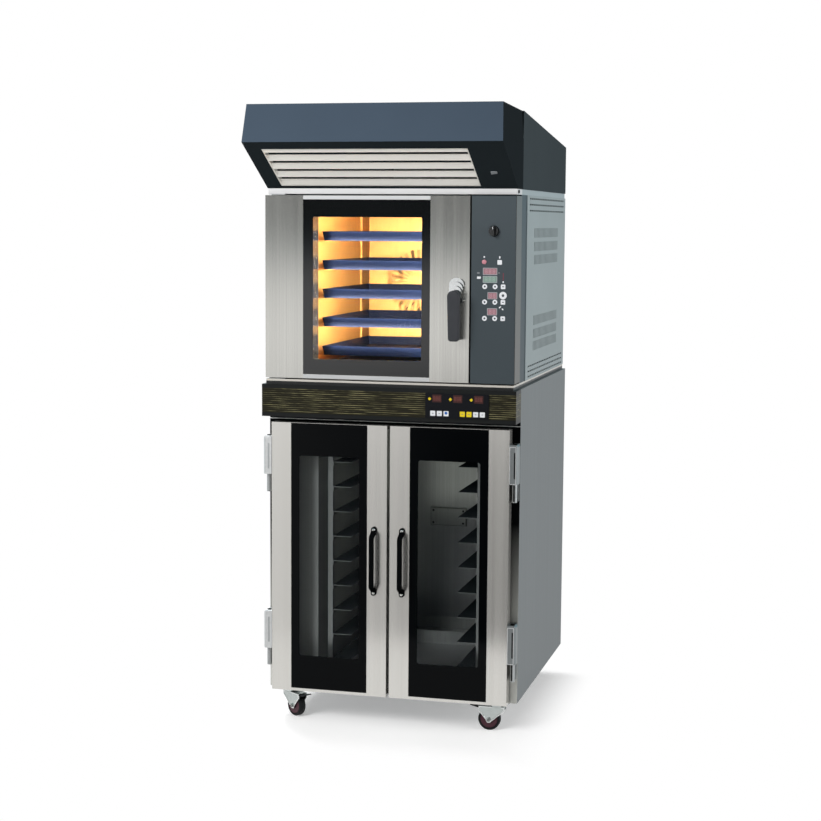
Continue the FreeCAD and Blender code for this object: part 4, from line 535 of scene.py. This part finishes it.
def cap(x, y, z, wide, high, corner, rise, lean=0.0):
    """Closed low cap facing the front: flat back, upright edge, small bevel, flat face."""
    outline = rounded(wide, high, corner)
    bevel = rounded(wide - 2 * BEVEL, high - 2 * BEVEL, max(corner - BEVEL, LEAST_ROUND))
    point = outline * 0
    edge = y - rise * UPRIGHT_SHARE
    rings = [(point, y), (outline, y), (outline, edge), (bevel, y - rise), (point, y - rise)]
    return front_rings(x, z, rings, lean)


def collar(x, y, z, outer, inner, rise):
    """Closed flat ring facing the front between an outer and an inner outline."""
    return front_rings(x, z, [(outer, y), (outer, y - rise), (inner, y - rise), (inner, y), (outer, y)])


# Caps are given as wide, high, corner and rise. Each sinks a little into what carries it.
keypad_film = printed_film("black polyester keypad film", "#0e1016", 0.3)
dress(keypad_film, "proofer_keypad")
ink_white = printed_film("white ink on film", "#f4f6fa")
ink_yellow = printed_film("yellow ink on film", "#f7dc2c")
ink_blue = printed_film("blue ink on film", "#2a67b8")
ink_grey = printed_film("grey ink on film", "#8c9194")
red_window = printed_film("smoked red window film", "#432a28", 0.25, 0.1)
BEVEL = 0.3
LEAST_ROUND = 0.05
UPRIGHT_SHARE = 0.6
SUNK = 0.1
KEY_RISE = 0.8
KEY_Z = 1142.0
WHITE_KEYS = (167.0, 190.6, 214.2, 319.2, 342.8)
YELLOW_KEYS = (272.0, 295.6)
KEY_CAP = (18, 18, 2, 0.5)
KEY_BAR = (6, 2.2, 0.9, 0.4)
BLUE_DOT_KEY = 2
BLUE_DOT_RAISED = 2
BLUE_DOT = (10, 10, 4.9, 0.4)
DISPLAY_X = (181.0, 255.0, 329.0)
DISPLAY_Z = 1194.0
DISPLAY_WINDOW = (33, 27, 2, 0.6)
YELLOW_SIGN = (9, 9, 2, 0.4)
YELLOW_SIGN_LEFT = 26
YELLOW_SIGN_DROP = 2
YELLOW_SIGN_LEAN = 45
key_seat = span("proofer_keypad")[0][1] + SUNK
film_seat = key_seat + KEY_RISE
print_seat = key_seat - KEY_CAP[3] + SUNK
white_caps = [cap(x, key_seat, KEY_Z, *KEY_CAP) for x in WHITE_KEYS]
add_piece("keypad_white_keys", white_caps, ink_white, "stack")
yellow_caps = [cap(x, key_seat, KEY_Z, *KEY_CAP) for x in YELLOW_KEYS]
for x in DISPLAY_X:
    yellow_caps.append(cap(x - YELLOW_SIGN_LEFT, film_seat, DISPLAY_Z - YELLOW_SIGN_DROP, *YELLOW_SIGN,
                           YELLOW_SIGN_LEAN))
add_piece("keypad_yellow_keys", yellow_caps, ink_yellow, "stack")
blue_dot = [cap(WHITE_KEYS[BLUE_DOT_KEY], print_seat, KEY_Z + BLUE_DOT_RAISED, *BLUE_DOT)]
add_piece("keypad_blue_dot", blue_dot, ink_blue, "stack")
barred_keys = WHITE_KEYS[:BLUE_DOT_KEY] + WHITE_KEYS[BLUE_DOT_KEY + 1:] + YELLOW_KEYS
key_signs = [cap(x, print_seat, KEY_Z, *KEY_BAR) for x in barred_keys]
add_piece("keypad_key_signs", key_signs, ink_grey, "stack")
windows = [cap(x, film_seat, DISPLAY_Z, *DISPLAY_WINDOW) for x in DISPLAY_X]
add_piece("keypad_windows", windows, red_window, "stack")


# Figures of the proofer's displays: lit bars behind the smoked film, three figures to a window. They
# are laid as low bars on the film, because it would hide them.
def figures(x, z, y, count, step, high, wide):
    """Seven-bar figures, a count of them a step apart about x: each has three level bars and four
    upright bars, all lit."""
    bars = []
    for centre in x + (np.arange(count) - (count - 1) / 2) * step:
        for row in (-1, 0, 1):
            bars.append(cap(centre, y, z + row * high / 2, wide, BAR_THICK, BAR_ROUND, BAR_RISE))
        for side in (-1, 1):
            for row in (-0.5, 0.5):
                bars.append(cap(centre + side * wide / 2, y, z + row * high / 2, BAR_THICK,
                                high / 2 - BAR_GAP, BAR_ROUND, BAR_RISE))
    return bars


BAR_THICK = 1.4
BAR_ROUND = 0.4
BAR_RISE = 0.25
BAR_GAP = 2.0
PROOFER_FIGURES = (3, 9, 13, 5)
lit_red = printed_film("lit red figure bars", "#7a4440", 0.4, 0.2)
keypad_bars = []
for x in DISPLAY_X:
    keypad_bars += figures(x, DISPLAY_Z, film_seat - DISPLAY_WINDOW[3] + SUNK, *PROOFER_FIGURES)
add_piece("keypad_figures", keypad_bars, lit_red, "stack")


# Proofer doors: stiles and slim channels of satin stainless round a toughened pane. The pane has a
# black enamel border, fired on, that hides the seat of the glass, and a black trim closes the head.
def clear_glass(name, alpha):
    """Toughened glass: a hard clear reflection over a pane that lets most light through.
    Dust drifts in patches near 60 mm wide."""
    made, tree, shader, place = surface(name)
    dust = node(tree, "TexNoise", {"Scale": 1 / (60 * MM), "Detail": 3.0}, {"Vector": place})
    haze = node(tree, "MapRange", {3: alpha * 0.8, 4: alpha * 1.2}, {0: dust})
    settle(tree, shader, {"Base Color": linear("#10161a"), "Roughness": 0.03, "Specular IOR Level": 0.3},
           {"Alpha": haze})
    return made


def enamel(name, colour, shine):
    """Black ceramic enamel behind glass: deep, glossy and even, with a faint drift of its tone."""
    made, tree, shader, place = surface(name)
    drift = node(tree, "TexNoise", {"Scale": 1 / (120 * MM), "Detail": 2.0}, {"Vector": place})
    tone = node(tree, "MixRGB", {1: shaded(colour, 0.7), 2: linear(colour)}, {0: drift})
    settle(tree, shader, {"Roughness": 0.08, "Specular IOR Level": shine}, {"Base Color": tone})
    return made


def pane_border(glass, window_x, window_z, corner):
    """Ring on the front of a pane, from its edge in to a window that spans two x and two z values."""
    low, high = span(glass)
    middle = (low + high) / 2
    hole = rounded(window_x[1] - window_x[0], window_z[1] - window_z[0], corner)
    hole = hole + (sum(window_x) / 2 - middle[0], sum(window_z) / 2 - middle[2])
    edge = rounded(high[0] - low[0], high[2] - low[2], PANE_ROUND)
    return collar(middle[0], low[1] + BORDER_SUNK, middle[2], edge, hole, BORDER_RISE)


door_steel = brushed("satin stainless door stile", "#d6d4cf", 0.2, "z", metal=0.82, contrast=0.07,
                     streak_mm=22.0, across=0.7)
dress(door_steel, "left_door_frame", "right_door_frame")
proofer_glass = clear_glass("clear toughened glass", 0.1)
dress(proofer_glass, "left_door_glass", "right_door_glass")
border_black = enamel("black enamel border on glass", "#06080a", 0.06)
PROOFER_WINDOW_X = (108.0, 330.0)
PROOFER_WINDOW_Z = (242.0, 970.0)
PROOFER_WINDOW_ROUND = 8.0
PANE_ROUND = 0.5
BORDER_SUNK = 0.05
BORDER_RISE = 0.25
BARE_EDGE = 1.1
TRIM_SUNK = 0.2
TRIM_ROUND = 0.5
TRIM_RISE = 0.6
for side, sign in (("left", -1), ("right", 1)):
    window_x = sorted(sign * x for x in PROOFER_WINDOW_X)
    ring = pane_border(side + "_door_glass", window_x, PROOFER_WINDOW_Z, PROOFER_WINDOW_ROUND)
    add_piece(side + "_door_border", [ring], border_black, side + "_door")
    pane_low, pane_high = span(side + "_door_glass")
    frame_low, frame_high = span(side + "_door_frame")
    trim_top = frame_high[2] - BARE_EDGE
    trim = cap((pane_low[0] + pane_high[0]) / 2, frame_low[1] + TRIM_SUNK, (pane_high[2] + trim_top) / 2,
               pane_high[0] - pane_low[0], trim_top - pane_high[2], TRIM_ROUND, TRIM_RISE)
    add_piece(side + "_door_head_trim", [trim], border_black, side + "_door")


# Pull handles: bows moulded in black nylon, screwed to the inner stiles through a lug at each end.
# The bow leaves the lugs in a smooth curve, with an oval section.
def bow(x, y, z, half, reach, wide, thick):
    """Oval section carried along a bow: height runs from end to end, and the stand-off rises over the
    last fifth at each end in a smooth step, so that the grip between is straight."""
    share = np.concatenate([np.linspace(-1, -0.7, 12), np.linspace(-0.68, 0.68, 20), np.linspace(0.7, 1, 12)])
    leg = np.clip((1 - np.abs(share)) / 0.2, 0, 1)
    arch = leg ** 2 * (3 - 2 * leg)
    out = y - thick / 2 - (reach - thick) * arch
    up = z + share * half
    slope_y, slope_z = np.gradient(out), np.gradient(up)
    size = np.hypot(slope_y, slope_z)
    normal_y, normal_z = slope_z / size, -slope_y / size
    angle = np.linspace(0, 2 * np.pi, 20, endpoint=False)
    oval_x = np.sign(np.cos(angle)) * np.abs(np.cos(angle)) ** 0.7 * wide / 2
    oval_n = np.sign(np.sin(angle)) * np.abs(np.sin(angle)) ** 0.7 * thick / 2
    grid_x = x + np.broadcast_to(oval_x, (len(share), len(angle)))
    grid_y = out[:, None] + normal_y[:, None] * oval_n
    grid_z = up[:, None] + normal_z[:, None] * oval_n
    grid = np.stack([grid_x, grid_y, grid_z], axis=-1)
    ends = [np.broadcast_to(grid[i].mean(axis=0), grid[i].shape)[None] for i in (0, -1)]
    return np.concatenate([ends[0], grid, ends[1]]) * MM


handle_nylon = moulding("black moulded nylon", "#0c0d0e", 0.6, shine=0.0)
screw_zinc = zinc_plate("bright zinc plate on screw heads", "#dedfdb", 0.22)
LUG_LONG = 30.0
LUG_THICK = 8.0
LUG_ROUND = 9.4
LUG_SCREW = 11.0
SCREW_SUNK = 0.3
PULL_HEAD = np.array(PAN_HEAD) * (1.25, 1.0)
GRIP_WIDE = 18.0
GRIP_THICK = 14.0
GRIP_FOOT = 1.0
GRIP_IN_LUG = 0.55
for side in ("left", "right"):
    low, high = span(side + "_door_handle")
    x = (low[0] + high[0]) / 2
    z = (low[2] + high[2]) / 2
    half = (high[2] - low[2]) / 2
    door_face = span(side + "_door_frame")[0][1]
    foot = door_face - GRIP_FOOT
    parts = [bow(x, foot, z, half - LUG_LONG * GRIP_IN_LUG, foot - low[1], GRIP_WIDE, GRIP_THICK)]
    heads = []
    for end in (-1, 1):
        parts.append(cap(x, door_face, z + end * (half - LUG_LONG / 2), high[0] - low[0], LUG_LONG,
                         LUG_ROUND, LUG_THICK))
        screw = np.array((x, door_face - LUG_THICK + SCREW_SUNK, z + end * (half - LUG_SCREW)))
        heads.append(turned(screw * MM, (0, -1, 0), PULL_HEAD))
    grip = add_piece(side + "_pull_bow", parts, handle_nylon, side + "_door")
    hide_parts(side + "_door_handle")
    dress(handle_nylon, side + "_door_handle")
    add_piece(side + "_pull_screws", heads, screw_zinc, side + "_door")

# Lift-off hinges: die-cast zinc blocks on the door edges, rimmed in front and capped in black nylon,
# over steel posts on the cabinet front. The left blocks and all rims wear a painted lit copy of the zinc, the
# right blocks a painted shaded copy. The nylon inserts are grey on the left and black on the right.
hinge_zinc = zinc_plate("satin die-cast zinc", "#b4b7b7", 0.36)
dress(hinge_zinc, "proofer_hinge_posts")
lit_hinge_zinc = zinc_plate("bright die-cast zinc", "#dfe0e0", 0.45)
shaded_hinge_zinc = zinc_plate("dulled die-cast zinc", "#8b8f90", 0.45)
slot_black = moulding("black nylon hinge insert", "#0b0c0d", 0.5)
insert_grey = moulding("grey nylon hinge insert", "#b4b7b8", 0.5)
BLOCK_HIGH = 138.0
BLOCK_FACE = (24.4, 131.9)
RIM_INSET = 1.0
FACE_RIM = 2.0
EDGE_ROUND = 2.5
FIELD_ROUND = 1.5
FACE_SUNK = 0.2
RIM_RISE = 1.0
HINGE_CAP = [(0, 0), (8.5, 0), (8.5, 1.6), (7.4, 2.6), (0, 2.6)]
LOWER_CAP_UP = 137.6
CAP_SIDES = 20
CAP_SUNK = 0.2
INSERT = (6.5, 92.0, 1.5, 0.5)
INSERT_ASIDE = 4.0
INSERT_UP = 69.0
INSERT_DOWN = 72.0
POST_SLOT = (6.0, 58.0, 2.0, 0.8)
POST_SLOT_SUNK = 0.6
POST_SLOT_DOWN = 33.0
rim_wide, rim_high = np.array(BLOCK_FACE) - RIM_INSET
face_edge = rounded(rim_wide, rim_high, EDGE_ROUND)
face_field = rounded(rim_wide - 2 * FACE_RIM, rim_high - 2 * FACE_RIM, FIELD_ROUND)
post_seat = span("proofer_hinge_posts")[0][1] + POST_SLOT_SUNK
# Painted light and shade: the left blocks take the lit copy of the zinc, the right blocks the shaded copy.
for side, block_zinc, insert in (("left", lit_hinge_zinc, insert_grey), ("right", shaded_hinge_zinc, slot_black)):
    dress(block_zinc, side + "_door_hinges")
    low, high = span(side + "_door_hinges")
    x = (low[0] + high[0]) / 2
    y = (low[1] + high[1]) / 2
    feet = (low[2], high[2] - BLOCK_HIGH)
    face_x = low[0] + BLOCK_FACE[0] / 2 if side == "right" else high[0] - BLOCK_FACE[0] / 2
    rims = [collar(face_x, low[1] + FACE_SUNK, foot + BLOCK_FACE[1] / 2, face_edge, face_field, RIM_RISE)
            for foot in feet]
    add_piece(side + "_hinge_rims", rims, lit_hinge_zinc, side + "_door")
    caps = [turned(np.array((x, y, z - CAP_SUNK)) * MM, (0, 0, 1), HINGE_CAP, CAP_SIDES)
            for z in (low[2] + LOWER_CAP_UP, high[2])]
    add_piece(side + "_hinge_caps", caps, handle_nylon, side + "_door")
    inserts = [cap(x + INSERT_ASIDE, low[1] + FACE_SUNK, z, *INSERT)
               for z in (low[2] + INSERT_UP, high[2] - INSERT_DOWN)]
    add_piece(side + "_hinge_inserts", inserts, insert, side + "_door")
    slots = [cap(x, post_seat, foot - POST_SLOT_DOWN, *POST_SLOT) for foot in feet]
    add_piece(side + "_post_slots", slots, insert, "stack")

# Door seals: strips of extruded black rubber, pressed on round both doorways, which the doors
# close against.
seal_rubber = moulding("black extruded seal rubber", "#131415", 0.7)
dress(seal_rubber, "proofer_door_seal", "oven_door_seal")


# Oven casing: side panels and rear cover of folded steel, powder coated pale grey, and a front frame
# coated blue-grey, on a base tray of brushed stainless that is coloured black along its lowest 11 mm.
def powder_coat(name, colour, rough, shine=0.15):
    """Powder coat: even colour with a slow drift, and orange peel as a low noise bump.
    Real peel is near 1 mm across; it is drawn at 2.5 mm so that it shows."""
    made, tree, shader, place = surface(name)
    drift = node(tree, "TexNoise", {"Scale": 1 / (180 * MM), "Detail": 3.0}, {"Vector": place})
    tone = node(tree, "MixRGB", {1: shaded(colour, 0.9), 2: linear(colour)}, {0: drift})
    peel = node(tree, "TexNoise", {"Scale": 1 / (2.5 * MM), "Detail": 1.0}, {"Vector": place})
    bump = node(tree, "Bump", {"Strength": 0.06, "Distance": 0.2 * MM}, {"Height": peel})
    settle(tree, shader, {"Roughness": rough, "Specular IOR Level": shine},
           {"Base Color": tone, "Normal": bump})
    return made


casing_grey = powder_coat("pale grey powder coat on steel", "#a4b0b2", 0.5)
dress(casing_grey, "oven_left_panel", "oven_right_panel", "oven_rear_cover", "fan_motor")
frame_blue = powder_coat("blue-grey powder coat on steel", "#3c4a51", 0.45)
dress(frame_blue, "oven_front_frame")
BASE_BLACK_BAND = 11.0
black_band_top = (span("oven_base")[0][2] + BASE_BLACK_BAND) * MM
base_steel = brushed("brushed stainless base tray", "#d5d1c8", 0.4, "x", metal=0.3)
# The base tray is coloured near black below the top of that band.
second_tone(base_steel, "place", "Z", black_band_top, "#141516", above=False)
dress(base_steel, "oven_base")
fitting_zinc = zinc_plate("yellowed zinc plate on brass", "#8d8f90", 0.35)
dress(fitting_zinc, "rear_fittings", "oven_door_pivots")

# Baking chamber: stainless sheet, tinted gold by heat, its outside faces painted near black as shade behind
# the side vents, with ladders of the same sheet, five navy trays, the fan behind its baffle, two ring
# heaters, and a lamp behind a lens.
SHEET_THICK = 1.0
chamber_low, chamber_high = span("oven_cavity")
outer_face = (chamber_high[0] - SHEET_THICK / 2) * MM
chamber_steel = brushed("heat-tinted stainless sheet", "#eeb668", 0.5, "z", metal=0.25, contrast=0.18,
                        streak_mm=20.0)
# Painted shade: faces beyond the sheet's outer face are coloured near black.
second_tone(chamber_steel, "place", "X", outer_face, "#25282a")
dress(chamber_steel, "oven_cavity", "fan_baffle", "tray_ladders")
fan_steel = brushed("heat-tinted fan steel", "#c79a5e", 0.45, "z", metal=0.6)
dress(fan_steel, "convection_fan", "heater_rings")
tray_coat = powder_coat("navy non-stick coating on steel", "#131e3a", 0.5, shine=0.08)
dress(tray_coat, "baking_trays")

# Chamber light: the lens is pressed glass, frosted and fluted every 6 mm. Lamps above the front of
# each tray, under the lowest and towards the left wall stand in for light thrown about by the sheet.
FLUTE = 6 * MM
lens, tree, shader, place = surface("frosted lamp lens")
flutes = node(tree, "TexWave", {"Scale": 1 / FLUTE / 6.28, "bands_direction": "Y"}, {"Vector": place})
bump = node(tree, "Bump", {"Strength": 0.3, "Distance": 0.5 * MM}, {"Height": flutes})
settle(tree, shader, {"Base Color": linear("#fff0d2"), "Roughness": 0.3, "Emission Strength": 3.0,
                      "Emission Color": linear("#ffdca6")}, {"Normal": bump})
dress(lens, "oven_lamp")
WARM = "#ffecd0"
TRAY_COUNT = 5
TRAY_DEEP = 33.0
TRAY_LAMP_WIDE = 0.34
TRAY_LAMP_BACK = 8.0
TRAY_LAMP_UP = 35.0
FLOOR_LAMP_BACK = 50.0
FLOOR_LAMP_DOWN = 4.0
WALL_LAMP_X = (0.12, -0.31)
WALL_LAMP_Z = 1.57
WALL_LAMP_BACK = 12.0
tray_low, tray_high = span("baking_trays")
tray_x = (tray_low[0] + tray_high[0]) / 2
for i, top in enumerate(np.linspace(tray_low[2] + TRAY_DEEP, tray_high[2], TRAY_COUNT)):
    lamp = Vector((tray_x, chamber_low[1] + TRAY_LAMP_BACK, top + TRAY_LAMP_UP)) * MM
    soft_box(f"chamber_lamp_{i}", lamp, lamp + Vector((0, 1, 0)), TRAY_LAMP_WIDE, 0.05, 5.0, WARM, 130)
lamp = Vector((tray_x, tray_low[1] + FLOOR_LAMP_BACK, tray_low[2] - FLOOR_LAMP_DOWN)) * MM
soft_box("floor_lamp", lamp, lamp - Vector((0, 0, 1)), TRAY_LAMP_WIDE, 0.06, 0.6, WARM, 160)
wall_y = float(chamber_low[1] + WALL_LAMP_BACK) * MM
soft_box("wall_lamp", (WALL_LAMP_X[0], wall_y, WALL_LAMP_Z), (WALL_LAMP_X[1], wall_y + 0.06, WALL_LAMP_Z),
         0.03, 0.5, 1.1, WARM, 70)

# Oven door: wide stiles of brushed stainless round a double pane with a black enamel border.
# Polished aluminium channels grip the pane along its top and bottom edges; their brightness is a painted
# sheen.
stile_steel = brushed("brushed stainless door stile", "#c1c0bb", 0.17, "z", metal=0.8, contrast=0.14,
                      streak_mm=30.0, across=0.9)
dress(stile_steel, "oven_door_frame")
oven_glass = clear_glass("clear double glass", 0.05)
dress(oven_glass, "oven_door_glass")
OVEN_WINDOW_X = (-274.0, 119.0)
OVEN_WINDOW_Z = (1318.0, 1817.0)
OVEN_WINDOW_ROUND = 3.0
ring = pane_border("oven_door_glass", OVEN_WINDOW_X, OVEN_WINDOW_Z, OVEN_WINDOW_ROUND)
oven_border = enamel("black enamel border on oven glass", "#07090a", 0.6)
add_piece("oven_door_border", [ring], oven_border, "oven_door")
# Painted sheen: the polished channels are coloured pale with no metal, standing in for their bright
# reflection.
channel_painted_sheen = brushed("polished aluminium channel", "#c8cacb", 0.3, "x", metal=0.0, contrast=0.04)
CHANNEL_HIGH = 13.0
CHANNEL_ROUND = 1.5
CHANNEL_RISE = 1.2
pane_low, pane_high = span("oven_door_glass")
door_low, door_high = span("oven_door_frame")
strips = []
for z in ((door_low[2] + pane_low[2]) / 2, (door_high[2] + pane_high[2]) / 2):
    strips.append(cap((pane_low[0] + pane_high[0]) / 2, door_low[1] + TRIM_SUNK, z,
                      pane_high[0] - pane_low[0], CHANNEL_HIGH, CHANNEL_ROUND, CHANNEL_RISE))
add_piece("oven_door_channels", strips, channel_painted_sheen, "oven_door")

# Latch: a neck of steel, turned in steps and chromed bright, on the door's right stile, and a lever
# moulded in charcoal nylon that turns on its spindle.
chrome = zinc_plate("polished chrome plate", "#f1f2f2", 0.12)
dress(chrome, "handle_rosette")
lever_nylon = moulding("charcoal moulded nylon", "#404246", 0.45)
dress(lever_nylon, "handle_lever")

# Control fascia: a steel plate, powder coated graphite, in a housing of brushed stainless, with
# printed keys and signs on its film. Caps are given as wide, high, corner and rise.
housing_steel = brushed("brushed stainless control housing", "#575551", 0.4, "z", metal=0.4, contrast=0.35,
                        streak_mm=12.0)
dress(housing_steel, "control_housing")
fascia_graphite = powder_coat("graphite powder coat on steel", "#454e53", 0.42)
dress(fascia_graphite, "control_fascia")
OVEN_KEY_RISE = 0.6
KEY_ROWS = (1583.0, 1530.0, 1474.0)
ROUND_KEYS = (343.0, 379.0)
ROUND_KEY = (17.4, 17.4, 8.6, 0.4)
ROUND_DOT = (6.5, 6.5, 3.2, 0.3)
SQUARE_KEY_X = 407.0
SQUARE_KEY = (16, 16, 2.5, 0.4)
SQUARE_BAR = (6, 3, 1.2, 0.3)
START_Z = 1553.0
START_KEY = (26.5, 26.5, 13.2, 0.4)
START_DOT = (9, 9, 4.4, 0.3)
POWER_KEY_PLACE = (394.0, 1666.0)
POWER_KEY = (16, 16, 2.5, 0.6)
PILOT_PLACE = (340.0, 1667.0)
PILOT_LENS = [(0, -0.5), (8, -0.5), (8, 1.2), (6.5, 3.0), (3.5, 4.0), (0, 4.3)]
key_seat = span("control_fascia")[0][1] + SUNK
panel_seat = key_seat + OVEN_KEY_RISE
dot_seat = key_seat - ROUND_KEY[3] + SUNK
white_keys = []
key_dots = []
for z in KEY_ROWS:
    for x in ROUND_KEYS:
        white_keys.append(cap(x, key_seat, z, *ROUND_KEY))
        key_dots.append(cap(x, dot_seat, z, *ROUND_DOT))
    white_keys.append(cap(SQUARE_KEY_X, key_seat, z, *SQUARE_KEY))
    key_dots.append(cap(SQUARE_KEY_X, dot_seat, z, *SQUARE_BAR))
white_keys.append(cap(SQUARE_KEY_X, key_seat, START_Z, *START_KEY))
key_dots.append(cap(SQUARE_KEY_X, dot_seat, START_Z, *START_DOT))
white_keys.append(cap(POWER_KEY_PLACE[0], panel_seat, POWER_KEY_PLACE[1], *POWER_KEY))


def printed_signs(rows):
    """Low caps on the film, one for each row of x, z, wide, high, corner and lean."""
    return [cap(x, panel_seat, z, wide, high, corner, SIGN_RISE, lean)
            for x, z, wide, high, corner, lean in rows]


SIGN_RISE = 0.4
WHITE_SIGNS = ((322, 1613, 13, 8, 1.5, 0), (340, 1684, 6, 6, 2.8, 0), (394, 1683, 5, 8, 1.5, 0),
               (407, 1599, 4.5, 6, 2, 0), (397, 1513, 9, 4, 1.5, 40), (406, 1506, 7, 4, 1.5, -40))
GREY_SIGNS = ((320, 1629, 9, 5, 1, 0), (392, 1630, 6, 3, 1, 0))
RED_SIGNS = ((407, 1617, 2.2, 26, 1, 0),)
ink_dark = printed_film("dark ink on film", "#4a5156")
ink_red = printed_film("red ink on film", "#8c4450")
lamp_red = printed_film("red pilot lens", "#c98a94", 0.25, 0.15)
add_piece("control_white_keys", white_keys, ink_white, "stack")
add_piece("control_white_signs", printed_signs(WHITE_SIGNS), ink_white, "stack")
add_piece("control_key_dots", key_dots, ink_dark, "stack")
add_piece("control_grey_signs", printed_signs(GREY_SIGNS), ink_grey, "stack")
add_piece("control_red_sign", printed_signs(RED_SIGNS), ink_red, "stack")
pilot = np.array((PILOT_PLACE[0], panel_seat - SUNK, PILOT_PLACE[1])) * MM
add_piece("control_pilot_lamp", [turned(pilot, (0, -1, 0), PILOT_LENS)], lamp_red, "stack")

# Displays of the oven: three red film windows and one green, each in a moulded grey bezel. Each row
# gives x, z, wide, high, the count of figures and their colour.
DISPLAYS = ((361.0, 1635.0, 50.0, 24.0, 3, "red"), (370.0, 1552.0, 34.0, 24.0, 2, "red"),
            (369.5, 1497.0, 35.0, 24.0, 2, "red"), (361.0, 1607.5, 50.0, 23.0, 3, "green"))
OVEN_FIGURES = (13, 12, 6)
BEZEL_EDGE = 1.7
BEZEL_RISE = 1.2
BEZEL_ROUND = 1.5
WINDOW_EDGE = 1.5
WINDOW_RISE = 0.6
WINDOW_ROUND = 0.8
oven_red = printed_film("pink-red display window", "#a97f88", 0.3, 0.05)
oven_green = printed_film("grey-green display window", "#8aa298", 0.3, 0.05)
bezel_grey = moulding("grey moulded display bezel", "#b4babd", 0.45)
figure_red = printed_film("lit pink figure bars", "#c8a0a6", 0.4, 0.08)
figure_green = printed_film("lit green figure bars", "#a5bbb2", 0.4, 0.08)
bezels = []
panes = {"red": [], "green": []}
bars = {"red": [], "green": []}
for x, z, wide, high, count, colour in DISPLAYS:
    outer = rounded(wide, high, BEZEL_ROUND)
    inner = rounded(wide - 2 * BEZEL_EDGE, high - 2 * BEZEL_EDGE, WINDOW_ROUND)
    bezels.append(collar(x, panel_seat, z, outer, inner, BEZEL_RISE))
    panes[colour].append(cap(x, panel_seat, z, wide - 2 * WINDOW_EDGE, high - 2 * WINDOW_EDGE,
                             WINDOW_ROUND, WINDOW_RISE))
    bars[colour] += figures(x, z, panel_seat - WINDOW_RISE + SUNK, count, *OVEN_FIGURES)
add_piece("display_bezels", bezels, bezel_grey, "stack")
add_piece("display_red_windows", panes["red"], oven_red, "stack")
add_piece("display_green_window", panes["green"], oven_green, "stack")
add_piece("display_red_figures", bars["red"], figure_red, "stack")
add_piece("display_green_figures", bars["green"], figure_green, "stack")

# Knob: moulded in gloss black nylon and pushed on a spindle that comes through the fascia, with a
# white line let into the end of its grip bar.
knob_nylon = moulding("gloss black moulded nylon", "#101112", 0.3, shine=0.5)
dress(knob_nylon, "control_knob")
KNOB_MARK = (1.6, 8, 0.7, 0.3)
KNOB_MARK_DOWN = 8
knob_low, knob_high = span("control_knob")
mark_x = (knob_low[0] + knob_high[0]) / 2
knob_mark = cap(mark_x, knob_low[1] + SUNK, knob_high[2] - KNOB_MARK_DOWN, *KNOB_MARK)
add_piece("control_knob_mark", [knob_mark], ink_white, "knob")

# Hood: body and visor of folded steel, powder coated slate, the visor near black on its faces that point
# sideways or downward. A louvre panel of anodised slats and a grey rocker switch sit in the underside.
shell_slate = powder_coat("slate powder coat on hood body", "#4a5357", 0.45, shine=0.0)
dress(shell_slate, "hood_shell")
VISOR_SIDE_AND_UNDER_TONE = "#272d30"
LEANS_DOWN = -0.4
visor_slate = powder_coat("slate powder coat on visor face, black ends", "#485563", 0.42, shine=0.0)
# Faces of the visor that point sideways or downward are coloured near black.
second_tone(visor_slate, "facing", "X", FACE_ON, VISOR_SIDE_AND_UNDER_TONE)
second_tone(visor_slate, "facing", "X", -FACE_ON, VISOR_SIDE_AND_UNDER_TONE, above=False)
second_tone(visor_slate, "facing", "Z", LEANS_DOWN, VISOR_SIDE_AND_UNDER_TONE, above=False)
dress(visor_slate, "hood_visor")
slat_white = brushed("satin anodised louvre slat", "#f3f0e8", 0.5, "x", metal=0.1, contrast=0.08,
                     streak_mm=6.0)
dress(slat_white, "visor_louvres")
rocker_grey = moulding("grey moulded rocker", "#8f9497", 0.45)
dress(rocker_grey, "hood_switch")

# Rail: folded steel between oven and hood, powder coated grey, painted white in front of the visor's back
# edge as a painted reflection of the pale floor, with a black hexagon head on each side at its front end.
rail_coat = powder_coat("white powder coat on rail front, grey behind", "#aab5b8", 0.35)
# Painted reflection: the rail's length in front of the visor's back edge is coloured near white.
second_tone(rail_coat, "place", "Y", span("hood_visor")[1][1] * MM, "#e2e2e3", above=False)
dress(rail_coat, "hood_rail")
BOLT_BACK = 20.0
rail_low, rail_high = span("hood_rail")
bolts = []
for x, out in ((rail_low[0], -1), (rail_high[0], 1)):
    bolt = np.array((x, rail_low[1] + BOLT_BACK, (rail_low[2] + rail_high[2]) / 2)) * MM
    bolts.append(turned(bolt, (out, 0, 0), HEX_HEAD, HEX_SIDES))
add_piece("rail_bolts", bolts, screw_black, "stack")

# Exhaust: the blower's housing and wheel inside the hood, and the duct spigot on its roof, rolled
# from galvanised sheet with a clouded spangle.
duct_zinc = zinc_plate("galvanised steel with spangle", "#b4b9ba", 0.42)
dress(duct_zinc, "exhaust_spigot", "blower_housing", "blower_wheel")
